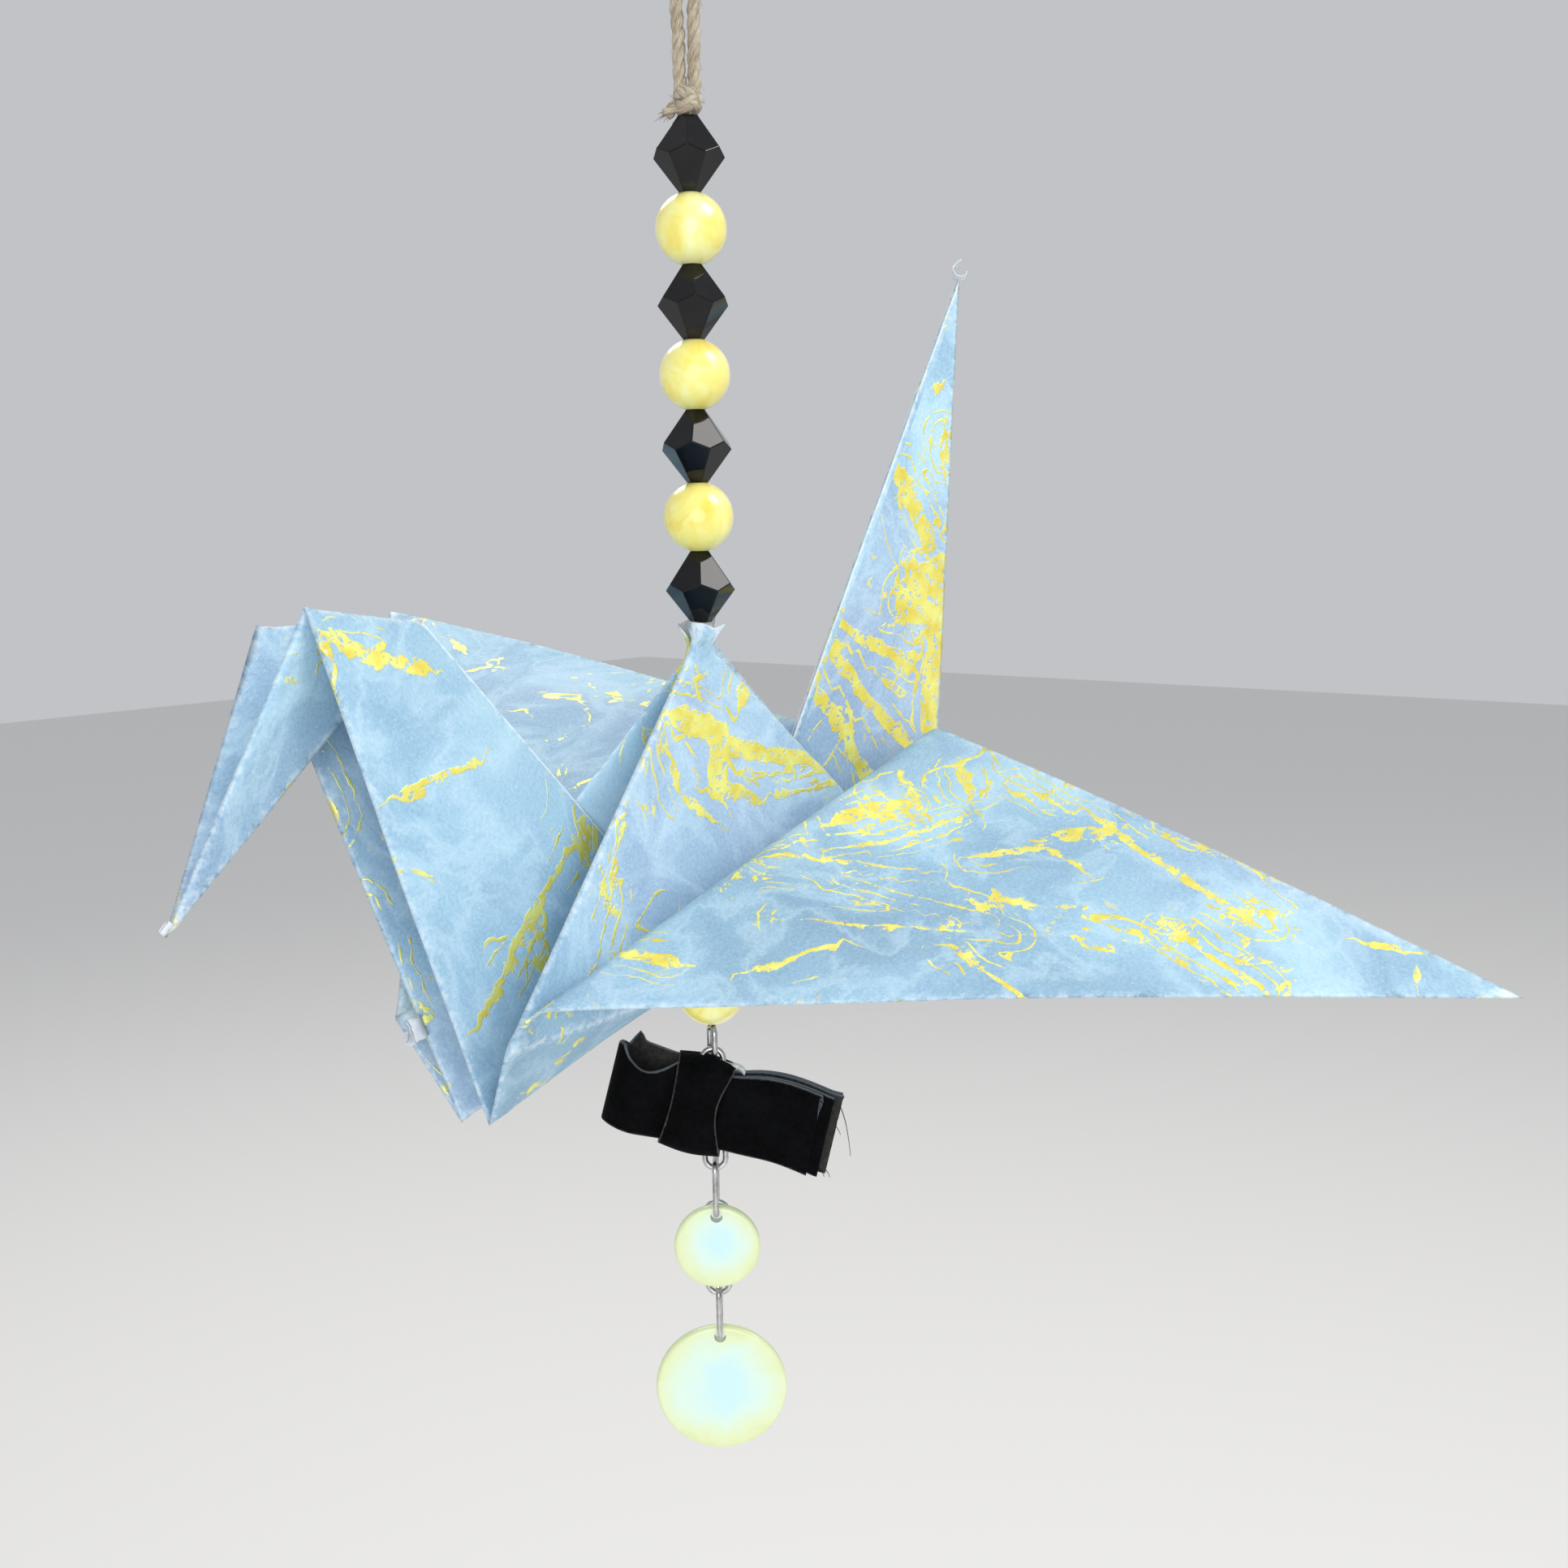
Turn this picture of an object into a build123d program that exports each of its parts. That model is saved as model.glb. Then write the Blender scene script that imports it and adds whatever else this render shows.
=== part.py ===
from build123d import *
import math
import os

os.makedirs("parts", exist_ok=True)

# A paper crane folded from one square, strung on a wire between beads and hung from a twine loop.
# Millimetres, +Z up. The origin is the inside top of the twine loop, where a hook bears.
# The crane's head points to -X and its near wing to -Y.

# Paper
paper_side = 190.0
ply = 0.2
seam_gap = 0.8

# Hump: how far each corner of its two faces stands from the middle plane, and how the faces pitch
apex_drop = 84.0
near_front_spread = 8.0
near_back_spread = 6.0
far_front_spread = 13.0
far_back_spread = 2.0
near_pitch = 1.0
far_pitch = 2.8
back_valley_y = 1.0

# Neck and head: two inside reverse folds of the front leg
neck_rise = 52.5
neck_lean = 11.0
neck_fold_drop = 13.1
neck_fold_near_y = -0.5
neck_fold_far_y = 5.0
head_spine = 41.4
head_edge = 33.65
head_fold_near_y = 7.2
head_fold_far_y = 19.7

# Tail: one inside reverse fold of the back leg
tail_rise = 60.5
tail_lean = -2.5
tail_fold_drop = 11.2
tail_fold_near_y = -5.8
tail_fold_far_y = 0.9

# Wings: where the bend line meets each edge, how the root stands off the hump, and the bend itself
near_wing = dict(front=3.9, back=26.3, root=19.0, bend=95.2, curl=4.0)
far_wing = dict(front=6.5, back=23.8, root=28.0, bend=56.0, curl=6.0)
wing_rows = 4
under_lean = 0.6

# Thread holes and the torn rim at the apex
thread_hole = 1.9
rim_radius = 2.1
rim_height = 1.3
rim_wall = 0.25
rim_top = 0.1

# Beads and the wire they sit on
core_wire_diameter = 1.0
bead_hole = 1.5
bicone_diameter = 8.0
bicone_height = 8.15
bicone_end = 2.4
bicone_sides = 6
round_bead_diameter = 8.0
round_bead_height = 7.65
bead_stack_gap = 0.5
lower_bead_top = 39.55
bead_clearance = 0.15

# Twine
twine_diameter = 1.5
strand_spacing = 1.6
knot_width = 3.4
knot_height = 3.2
knot_overlap = 1.0
knot_seat = 0.15
knot_turns = (dict(lift=0.15, tilt=62, turn=20), dict(lift=-0.2, tilt=-58, turn=-35))
eye_width = 6.4
eye_height = 9.0
bend_share = 0.45

# Wire links, which hang one in the other
link_wire = 0.7
link_slack = 0.08
eye_loop_length = 4.4
eye_loop_width = 2.6
eye_loop_turn = 20.0
ribbon_link_width = 3.2
link_bare_top = 0.58
link_bare_bottom = 1.92
disc_link_length = 7.0
disc_link_width = 4.1
disc_link_corner = 0.7
long_link_length = 12.5
long_link_width = 3.4
long_link_setback = -0.85
drop_link_length = 6.65
drop_link_width = 3.4

# Velvet ribbon, tied round the ribbon link
ribbon_width = 10.0
ribbon_thickness = 0.7
ribbon_tilt = 15.0
ribbon_loop_reach = 11.0
ribbon_tail_reaches = (14.4, 15.8, 17.2, 16.6)
ribbon_wrap_length = 6.8
ribbon_offset = -1.8
ribbon_layer_gap = 0.25
ribbon_loop_opening = 4.0
ribbon_loop_belly = 8.6
tail_root = 2.4
tail_fan_start = 5.8
tail_fan_share = 0.7
wrap_slack = 0.4
wrap_corner = 1.5
slot_room = 0.12

# Pearly discs, which face the way the photograph was taken from
disc_facing = -50.0
small_disc_diameter = 10.5
large_disc_diameter = 16.2
small_disc_setback = 0.45
disc_edge = 0.5
disc_thickness = 1.3
disc_hole = 1.5
disc_hole_inset = 1.3

# Lengths under this count as none
least_length = 0.01

# Directions used throughout
up = Vector(0, 0, 1)
facing = Vector(math.sin(math.radians(disc_facing)), -math.cos(math.radians(disc_facing)), 0)
across = Vector(math.cos(math.radians(disc_facing)), math.sin(math.radians(disc_facing)), 0)
apex = Vector(0, 0, -apex_drop)

# Lengths that the square fixes: half a hinge, a wing, a wing's outer edge and the hump's slanted edge
half_hinge = 0.5 * math.tan(math.pi / 8) * paper_side
leg_length = 0.5 * paper_side
leg_edge = leg_length / math.cos(math.pi / 8)
hump_edge = half_hinge * math.sqrt(2)


def at_distances(centre_a, radius_a, centre_b, radius_b, y, choose):
    """The point with the given y at two distances from two points."""
    flat_a = Vector(centre_a.X, 0, centre_a.Z)
    flat_b = Vector(centre_b.X, 0, centre_b.Z)
    square_a = radius_a**2 - (y - centre_a.Y) ** 2
    square_b = radius_b**2 - (y - centre_b.Y) ** 2
    line = flat_b - flat_a
    span = line.length
    unit = line / span
    along = (square_a - square_b + span**2) / (2 * span)
    off = math.sqrt(max(square_a - along**2, 0))
    normal = Vector(-unit.Z, 0, unit.X)
    found = [flat_a + unit * along + normal * (off * sign) + Vector(0, y, 0) for sign in (1, -1)]
    return min(found, key=choose)


def at_three_distances(points, radii, choose):
    """The point at three distances from three points."""
    a, b, c = points
    ex = (b - a).normalized()
    span = (b - a).length
    i = ex.dot(c - a)
    rest = c - a - ex * i
    ey = rest.normalized()
    j = rest.length
    ez = ex.cross(ey)
    x = (radii[0] ** 2 - radii[1] ** 2 + span**2) / (2 * span)
    y = (radii[0] ** 2 - radii[2] ** 2 + i**2 + j**2) / (2 * j) - i / j * x
    z = math.sqrt(max(radii[0] ** 2 - x**2 - y**2, 0))
    return min((a + ex * x + ey * y + ez * (z * sign) for sign in (1, -1)), key=choose)


def hump_face(side, front_spread, back_spread, pitch):
    """One right-angled face of the hump: its two lower corners and its two directions."""
    down_y = side * (front_spread + back_spread) / 2 / half_hinge
    hinge_y = side * (back_spread - front_spread) / 2 / half_hinge
    flat = math.sqrt(1 - hinge_y**2)
    turn = math.radians(pitch)
    hinge = Vector(math.cos(turn) * flat, hinge_y, math.sin(turn) * flat)
    sideways = Vector(0, 1, 0) - hinge * hinge_y
    lean = math.asin(down_y / sideways.length)
    downward = hinge.cross(sideways.normalized())
    if downward.Z > 0:
        downward = downward * -1
    down = downward * math.cos(lean) + sideways.normalized() * math.sin(lean)
    middle = apex + down * half_hinge
    return middle - hinge * half_hinge, middle + hinge * half_hinge, hinge, down


def leg_direction(rise, lean, forward):
    rise, lean = math.radians(rise), math.radians(lean)
    return Vector(forward * math.cos(rise) * math.cos(lean), math.sin(lean), math.sin(rise) * math.cos(lean))


def turned(point, centre, direction, angle):
    return centre + (point - centre).rotate(Axis((0, 0, 0), direction), angle)


def wing_outline(side, face, shape):
    """The wing's front and back edge points, row by row from the hinge to the tip."""
    front_corner, back_corner, hinge, down = face
    middle = (front_corner + back_corner) / 2
    outward = hinge.cross(down)
    if outward.Y * side < 0:
        outward = outward * -1
    root = math.radians(shape["root"])
    tip = middle + (outward * math.sin(root) - down * math.cos(root)) * leg_length
    normal = outward * math.cos(root) + down * math.sin(root)
    front = front_corner + (tip - front_corner) * (shape["front"] / leg_edge)
    back = back_corner + (tip - back_corner) * (shape["back"] / leg_edge)
    steps = [k / wing_rows for k in range(wing_rows + 1)]
    rows = [(front + (tip - front) * k, back + (tip - back) * k) for k in steps]
    bend = back - front
    way = max((1, -1), key=lambda sign: turned(tip, front, bend, shape["bend"] * sign).dot(normal))
    angle = shape["bend"]
    for k in range(wing_rows):
        centre = rows[k][0]
        turned_rows = [tuple(turned(p, centre, bend, angle * way) for p in row) for row in rows[k + 1 :]]
        rows = rows[: k + 1] + turned_rows
        angle = shape["curl"] / (wing_rows - 1)
    return [(front_corner, back_corner)] + rows


# Corners of the folded sheet
near_face = hump_face(-1, near_front_spread, near_back_spread, near_pitch)
far_face = hump_face(1, far_front_spread, far_back_spread, far_pitch)
near_front, near_back = near_face[:2]
far_front, far_back = far_face[:2]

front_valley = at_distances(apex, half_hinge, near_front, half_hinge, 0.0, lambda p: abs(p.X))
back_valley = at_distances(apex, half_hinge, near_back, half_hinge, back_valley_y, lambda p: abs(p.X))

neck_way = leg_direction(neck_rise, neck_lean, -1)
head_top = front_valley + neck_way * (leg_length - head_spine)
neck_edge = leg_edge - neck_fold_drop
neck_crease = math.sqrt(leg_length**2 + neck_edge**2 - 2 * leg_length * neck_edge * math.cos(math.pi / 8))
head_crease = math.sqrt(head_spine**2 + head_edge**2 - 2 * head_spine * head_edge * math.cos(math.pi / 8))


def neck_side(corner, fold_y, head_y):
    fold = at_distances(front_valley, neck_crease, corner, neck_fold_drop, fold_y, lambda p: p.Z)
    top = at_distances(fold, neck_edge - head_edge, head_top, head_crease, head_y, lambda p: p.X)
    return fold, top


near_keel, near_brow = neck_side(near_front, neck_fold_near_y, head_fold_near_y)
far_keel, far_brow = neck_side(far_front, neck_fold_far_y, head_fold_far_y)
beak = at_three_distances((head_top, near_brow, far_brow), (head_spine, head_edge, head_edge), lambda p: p.Z)

tail_tip = back_valley + leg_direction(tail_rise, tail_lean, 1) * leg_length
tail_edge = leg_edge - tail_fold_drop
tail_crease = math.sqrt(leg_length**2 + tail_edge**2 - 2 * leg_length * tail_edge * math.cos(math.pi / 8))
near_rump = at_distances(back_valley, tail_crease, near_back, tail_fold_drop, tail_fold_near_y, lambda p: p.Z)
far_rump = at_distances(back_valley, tail_crease, far_back, tail_fold_drop, tail_fold_far_y, lambda p: p.Z)

near_wing_rows = wing_outline(-1, near_face, near_wing)
far_wing_rows = wing_outline(1, far_face, far_wing)

# Faces of the sheet by their corners: those of one ply, and those with a second ply on the given side
single_faces = [
    (apex, near_front, near_back),
    (apex, far_front, far_back),
    (apex, near_front, front_valley),
    (apex, far_front, front_valley),
    (apex, near_back, back_valley),
    (apex, far_back, back_valley),
]
inside = Vector(0, 1, 0)
double_faces = [
    ((near_front, front_valley, near_keel), inside),
    ((far_front, front_valley, far_keel), inside * -1),
    ((near_back, back_valley, near_rump), inside),
    ((far_back, back_valley, far_rump), inside * -1),
    ((front_valley, near_keel, near_brow, head_top), inside),
    ((front_valley, far_keel, far_brow, head_top), inside * -1),
    ((head_top, near_brow, beak), inside),
    ((head_top, far_brow, beak), inside * -1),
    ((back_valley, near_rump, tail_tip), inside),
    ((back_valley, far_rump, tail_tip), inside * -1),
]


def flat_faces(corners):
    """A face of three corners as it is, and one of four as two triangles."""
    if len(corners) == 3:
        return [corners]
    a, b, c, d = corners
    return [(a, b, c), (a, c, d)]


def ply_plane(corners, toward):
    """The middle plane of one ply, or of the next ply toward the given direction."""
    a, b, c = corners[:3]
    normal = (b - a).cross(c - a).normalized()
    plane = Plane(origin=a, x_dir=b - a, z_dir=normal)
    if toward is None:
        return plane
    return plane.offset(ply if normal.dot(toward) > 0 else -ply)


def ply_outline(corners, plane):
    points = [plane.to_local_coords(p) for p in corners]
    return [(p.X, p.Y) for p in points]


def without_repeats(corners):
    kept = [p for k, p in enumerate(corners) if (p - corners[k - 1]).length > least_length]
    return tuple(kept)


def wing_faces(rows):
    """A wing's plies: the top one whole, the one under it with its raw edges along the middle."""
    tops, unders = [], []
    for (f0, b0), (f1, b1) in zip(rows[:-1], rows[1:]):
        tops.append(without_repeats((f0, b0, b1, f1)))
        m0, m1 = (f0 + b0) / 2, (f1 + b1) / 2
        gap0 = (b0 - f0).normalized() * (seam_gap / 2)
        gap1 = gap0 if (b1 - f1).length > seam_gap else Vector(0, 0, 0)
        unders.append(without_repeats((f0, m0 - gap0, m1 - gap1, f1)))
        unders.append(without_repeats((m0 + gap0, b0, b1, m1 + gap1)))
    return tops, unders


plies = [(corners, None) for corners in single_faces]
for corners, toward in double_faces:
    for triangle in flat_faces(corners):
        plies += [(triangle, None), (triangle, toward)]
for rows, side in ((near_wing_rows, -1), (far_wing_rows, 1)):
    tops, unders = wing_faces(rows)
    plies += [(corners, None) for corners in tops]
    plies += [(corners, Vector(0, side * under_lean, -1)) for corners in unders]

with BuildPart() as paper_crane:
    for corners, toward in plies:
        plane = ply_plane(corners, toward)
        with BuildSketch(plane):
            Polygon(*ply_outline(corners, plane), align=None)
            offset(amount=ply / 2, kind=Kind.INTERSECTION)
    extrude(amount=ply / 2, both=True)
    # The torn rim round the hole at the apex, flared like a small cup
    with BuildSketch(Plane.XZ):
        with Locations((0, apex.Z)):
            Polygon(
                (thread_hole / 2, rim_top - rim_height),
                (rim_radius, rim_top),
                (rim_radius - rim_wall, rim_top + rim_wall / 2),
                (thread_hole / 2 - rim_wall, rim_top - rim_height + rim_wall),
                align=None,
            )
    revolve(axis=Axis.Z)
    # The holes that the wire goes through, at the apex and between the two valleys
    with Locations(apex):
        Cylinder(thread_hole / 2, 2 * apex_drop, mode=Mode.SUBTRACT)
        with Locations((0, 0, -lower_bead_top - round_bead_height / 2)):
            Sphere(round_bead_diameter / 2 + bead_clearance, mode=Mode.SUBTRACT)
paper_crane.part.label = "paper_crane"
export_step(paper_crane.part, "parts/paper_crane.step")

# The beads above the crane, from the top down
stack_heights = [bicone_height, round_bead_height] * 3 + [bicone_height]
stack_top = apex.Z + bead_stack_gap + sum(stack_heights)
bead_tops = [stack_top - sum(stack_heights[:k]) for k in range(len(stack_heights))]

for number, top in enumerate(bead_tops[0::2], start=1):
    with BuildPart() as black_bead:
        for level, radius in (
            (top, bicone_end / 2),
            (top - bicone_height / 2, bicone_diameter / 2),
            (top - bicone_height, bicone_end / 2),
        ):
            with BuildSketch(Plane.XY.offset(level)):
                RegularPolygon(radius, bicone_sides)
        loft(ruled=True)
        with Locations((0, 0, top)):
            Hole(bead_hole / 2)
    black_bead.part.label = f"black_bead_{number}"
    export_step(black_bead.part, f"parts/black_bead_{number}.step")

round_bead_tops = {f"yellow_bead_{k}": top for k, top in enumerate(bead_tops[1::2], start=1)}
round_bead_tops["lower_yellow_bead"] = apex.Z - lower_bead_top
for name, top in round_bead_tops.items():
    with BuildPart() as yellow_bead:
        with Locations((0, 0, top - round_bead_height / 2)):
            Sphere(round_bead_diameter / 2)
            Box(round_bead_diameter, round_bead_diameter, round_bead_height, mode=Mode.INTERSECT)
            Cylinder(bead_hole / 2, round_bead_height, mode=Mode.SUBTRACT)
    yellow_bead.part.label = name
    export_step(yellow_bead.part, f"parts/{name}.step")


def oval_path(width, length, corner):
    """The middle line of a wire link, as a rounded box or, with a corner of half its width, an oval."""
    w, h = width / 2, length / 2
    Line((-w, -h + corner), (-w, h - corner))
    RadiusArc((-w, h - corner), (-w + corner, h), corner)
    if w - corner > least_length:
        Line((-w + corner, h), (w - corner, h))
    RadiusArc((w - corner, h), (w, h - corner), corner)
    Line((w, h - corner), (w, -h + corner))
    RadiusArc((w, -h + corner), (w - corner, -h), corner)
    if w - corner > least_length:
        Line((w - corner, -h), (-w + corner, -h))
    RadiusArc((-w + corner, -h), (-w, -h + corner), corner)


# Where each link's wire lies at its top and bottom: each link's top wire rides on the last one's bottom wire,
# and the ribbon link stands out of the ribbon's band at both ends
wrap_height = ribbon_width + 2 * ribbon_thickness + wrap_slack
link_step = link_wire + link_slack
lower_bead_base = apex.Z - lower_bead_top - round_bead_height
eye_loop_bottom = lower_bead_base - eye_loop_length + link_wire / 2
ribbon_link_top = eye_loop_bottom + link_step
ribbon_middle = ribbon_link_top - link_wire / 2 - link_bare_top - wrap_height / 2
ribbon_link_bottom = ribbon_middle - wrap_height / 2 - link_bare_bottom - link_wire / 2
disc_link_top = ribbon_link_bottom + link_step
disc_link_bottom = disc_link_top - disc_link_length + link_wire
long_link_top = disc_link_bottom + link_step
long_link_bottom = long_link_top - long_link_length + link_wire
drop_link_top = long_link_bottom + link_step
drop_link_bottom = drop_link_top - drop_link_length + link_wire

links = {
    "ribbon_link": (0, facing, ribbon_link_width, ribbon_link_top, ribbon_link_bottom, None),
    "disc_link": (0, across, disc_link_width, disc_link_top, disc_link_bottom, disc_link_corner),
    "long_link": (long_link_setback, facing, long_link_width, long_link_top, long_link_bottom, None),
    "drop_link": (long_link_setback, across, drop_link_width, drop_link_top, drop_link_bottom, disc_link_corner),
}
for name, (setback, normal, width, top, bottom, corner) in links.items():
    centre = facing * setback + up * ((top + bottom) / 2)
    with BuildPart() as link:
        with BuildLine(Plane(origin=centre, x_dir=normal.cross(up), z_dir=normal)) as path:
            middle_width = width - link_wire
            oval_path(middle_width, top - bottom, corner if corner else middle_width / 2)
        with BuildSketch(Plane(origin=path.line @ 0, z_dir=path.line % 0)):
            Circle(link_wire / 2)
        sweep(path=path.line)
    link.part.label = name
    export_step(link.part, f"parts/{name}.step")

# The wire through the beads and the crane, which ends below in a narrow eye
knot_base = stack_top
eye_normal = across.rotate(Axis.Z, eye_loop_turn)
eye_loop_top = lower_bead_base - link_wire / 2 - link_slack
eye_centre_z = (eye_loop_top + eye_loop_bottom) / 2
with BuildPart() as core_wire:
    with BuildLine(Plane(origin=up * eye_centre_z, x_dir=eye_normal.cross(up), z_dir=eye_normal)) as path:
        eye_middle_width = eye_loop_width - link_wire
        oval_path(eye_middle_width, eye_loop_top - eye_loop_bottom, eye_middle_width / 2)
    with BuildSketch(Plane(origin=path.line @ 0, z_dir=path.line % 0)):
        Circle(link_wire / 2)
    sweep(path=path.line)
    with BuildSketch(Plane.XY.offset(eye_loop_top)):
        Circle(core_wire_diameter / 2)
    extrude(amount=knot_base + knot_height / 2 - eye_loop_top)
core_wire.part.label = "core_wire"
export_step(core_wire.part, "parts/core_wire.step")

# The knot of twine on top of the first bead: a lump with two turns round it
knot_middle = knot_base + knot_height / 2 - knot_seat
knot_top = knot_base + knot_height
with BuildPart() as twine_knot:
    with Locations((0, 0, knot_middle)):
        Sphere(knot_height / 2)
    for wound in knot_turns:
        with Locations(Location((0, 0, knot_middle + wound["lift"]), (0, wound["tilt"], wound["turn"]))):
            Torus(knot_width / 2 - twine_diameter / 2, twine_diameter / 2)
    base_cut = (3 * knot_width, 3 * knot_width, knot_height)
    with Locations((0, 0, knot_base)):
        Box(*base_cut, align=(Align.CENTER, Align.CENTER, Align.MAX), mode=Mode.SUBTRACT)
        Cylinder(core_wire_diameter / 2, knot_height, mode=Mode.SUBTRACT)
    with BuildSketch(Plane(origin=up * (knot_top - knot_overlap), x_dir=across, z_dir=up)):
        SlotCenterToCenter(strand_spacing, twine_diameter)
    extrude(amount=knot_height, mode=Mode.SUBTRACT)
twine_knot.part.label = "twine_knot"
export_step(twine_knot.part, "parts/twine_knot.step")

# The twine: two strands side by side that open into a loop
eye_base = -eye_height
route = [
    across * (-strand_spacing / 2) + up * (knot_top - knot_overlap),
    across * (-strand_spacing / 2) + up * (eye_base - twine_diameter),
    across * (-eye_width / 2) + up * (eye_base + eye_height / 2),
    across * (-eye_width / 4) + up * (twine_diameter / 2),
    across * (eye_width / 4) + up * (twine_diameter / 2),
    across * (eye_width / 2) + up * (eye_base + eye_height / 2),
    across * (strand_spacing / 2) + up * (eye_base - twine_diameter),
    across * (strand_spacing / 2) + up * (knot_top - knot_overlap),
]


def run_radii(points):
    """A bend radius for each inner point of a route, from the runs beside it and the turn there."""
    radii = []
    for a, b, c in zip(points[:-2], points[1:-1], points[2:]):
        turn = (b - a).get_angle(c - b)
        shorter = min((b - a).length, (c - b).length)
        radii.append(bend_share * shorter / math.tan(math.radians(turn) / 2))
    return radii


with BuildPart() as hanging_twine:
    with BuildLine() as path:
        FilletPolyline(*route, radius=run_radii(route))
    with BuildSketch(Plane(origin=path.line @ 0, z_dir=path.line % 0)):
        Circle(twine_diameter / 2)
    sweep(path=path.line)
hanging_twine.part.label = "hanging_twine"
export_step(hanging_twine.part, "parts/hanging_twine.step")
print("twine length", round(sum(edge.length for edge in path.edges()), 2), "bend radii", [round(r, 2) for r in run_radii(route)])

# The discs, each hung by the hole near its rim
discs = {
    "small_disc": (small_disc_diameter, small_disc_setback, disc_link_bottom),
    "large_disc": (large_disc_diameter, long_link_setback, drop_link_bottom),
}
for name, (diameter, setback, wire_z) in discs.items():
    hole_z = wire_z - (disc_hole - link_wire) / 2 + link_slack
    centre = facing * setback + up * (hole_z + disc_hole_inset - diameter / 2)
    with BuildPart() as disc:
        with BuildSketch(Plane(origin=centre, x_dir=across, z_dir=facing)):
            Circle(diameter / 2)
            with Locations((0, diameter / 2 - disc_hole_inset)):
                Circle(disc_hole / 2, mode=Mode.SUBTRACT)
        extrude(amount=disc_thickness / 2, both=True)
        fillet(disc.edges().filter_by(GeomType.CIRCLE).sort_by(SortBy.RADIUS)[-2:], radius=disc_edge)
    disc.part.label = name
    export_step(disc.part, f"parts/{name}.step")

# The ribbon: two layers folded at the left into a loop, two more tails at the right, and a band round them
tilt = math.radians(ribbon_tilt)
along = across * math.cos(tilt) - up * math.sin(tilt)
ribbon_up = across * math.sin(tilt) + up * math.cos(tilt)
ribbon_centre = across * ribbon_offset + up * ribbon_middle
layer = ribbon_thickness + ribbon_layer_gap
tail_steps = (-2, -1, 1, 2)
link_room = link_wire + 2 * slot_room
inner_layer = (link_room + ribbon_thickness) / 2
wrap_depth = 2 * (inner_layer + 1.5 * ribbon_thickness)
with BuildPart() as velvet_ribbon:
    with BuildSketch(Plane(origin=ribbon_centre, x_dir=along, z_dir=ribbon_up)):
        for side in (1, -1):
            with BuildLine():
                Spline(
                    (-ribbon_loop_reach + ribbon_thickness / 2, 0),
                    (-ribbon_loop_belly, side * ribbon_loop_opening / 2),
                    (-ribbon_wrap_length / 2, side * inner_layer),
                    tangents=((0, side), (1, 0)),
                )
                Line((-ribbon_wrap_length / 2, side * inner_layer), (ribbon_wrap_length / 2, side * inner_layer))
            trace(line_width=ribbon_thickness)
        for steps, reach in zip(tail_steps, ribbon_tail_reaches):
            side = math.copysign(1, steps)
            outer = abs(steps) - 1
            with BuildLine():
                Spline(
                    (tail_root, side * inner_layer),
                    (tail_fan_start, side * (inner_layer + tail_fan_share * outer * layer)),
                    (reach, side * (inner_layer + outer * layer)),
                )
            trace(line_width=ribbon_thickness)
    extrude(amount=ribbon_width / 2, both=True)
    with BuildSketch(Plane(origin=ribbon_centre - along * (ribbon_wrap_length / 2), x_dir=facing, z_dir=along)):
        RectangleRounded(wrap_depth, wrap_height, wrap_corner)
        RectangleRounded(
            wrap_depth - 2 * ribbon_thickness,
            wrap_height - 2 * ribbon_thickness,
            wrap_corner - ribbon_thickness,
            mode=Mode.SUBTRACT,
        )
    extrude(amount=ribbon_wrap_length)
    # The way through for the link, between the inner layers and through the band's top and bottom
    with Locations(Location((0, 0, ribbon_centre.Z), (0, 0, disc_facing))):
        Box(ribbon_link_width + 2 * slot_room, link_room, 2 * ribbon_width, mode=Mode.SUBTRACT)
velvet_ribbon.part.label = "velvet_ribbon"
export_step(velvet_ribbon.part, "parts/velvet_ribbon.step")
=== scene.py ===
import itertools
import math
import bmesh
import bpy
import numpy as np
from mathutils import Matrix, Vector, geometry, noise


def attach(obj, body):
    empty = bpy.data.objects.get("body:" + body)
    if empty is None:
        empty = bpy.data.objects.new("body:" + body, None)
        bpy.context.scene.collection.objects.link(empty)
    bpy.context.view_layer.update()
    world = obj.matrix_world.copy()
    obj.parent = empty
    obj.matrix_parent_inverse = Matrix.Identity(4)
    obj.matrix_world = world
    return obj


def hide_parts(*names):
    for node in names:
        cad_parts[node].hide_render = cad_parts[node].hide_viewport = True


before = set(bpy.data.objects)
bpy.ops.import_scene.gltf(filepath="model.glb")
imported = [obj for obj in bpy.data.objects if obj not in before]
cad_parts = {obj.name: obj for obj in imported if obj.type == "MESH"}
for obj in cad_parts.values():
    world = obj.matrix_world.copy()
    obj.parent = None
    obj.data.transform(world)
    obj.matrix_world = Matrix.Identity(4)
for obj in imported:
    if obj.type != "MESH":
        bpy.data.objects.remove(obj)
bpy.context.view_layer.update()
MM = 0.001
# The waves of the paper are the same each run
noise.seed_set(7)

# Camera, placed from the apex of the hump
image_px = 1932
focal_px = 2055
sensor_width = 36.0
view_azimuth = -49.82
view_elevation = 8.95
view_roll = -1.08
view_right = -9.515
view_up = 18.127
view_distance = 192.15

# Paper
paper_side = 190.0
ply = 0.2
paper_thickness = 0.17
apex_drop = 84.0
# How far the hump's front and back corners stand off the middle plane, and the pitch of the edge between them
near_spread = (8.0, 6.0)
far_spread = (13.0, 2.0)
near_pitch = 1.0
far_pitch = 2.8
back_valley_y = 1.0

# Neck, head and tail
neck_rise = 52.5
neck_lean = 11.0
neck_fold_drop = 13.1
neck_fold_y = (-0.5, 5.0)
head_spine = 41.4
head_edge = 33.65
head_fold_y = (7.2, 19.7)
tail_rise = 60.5
tail_lean = -2.5
tail_fold_drop = 11.2
tail_fold_y = (-5.8, 0.9)

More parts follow.
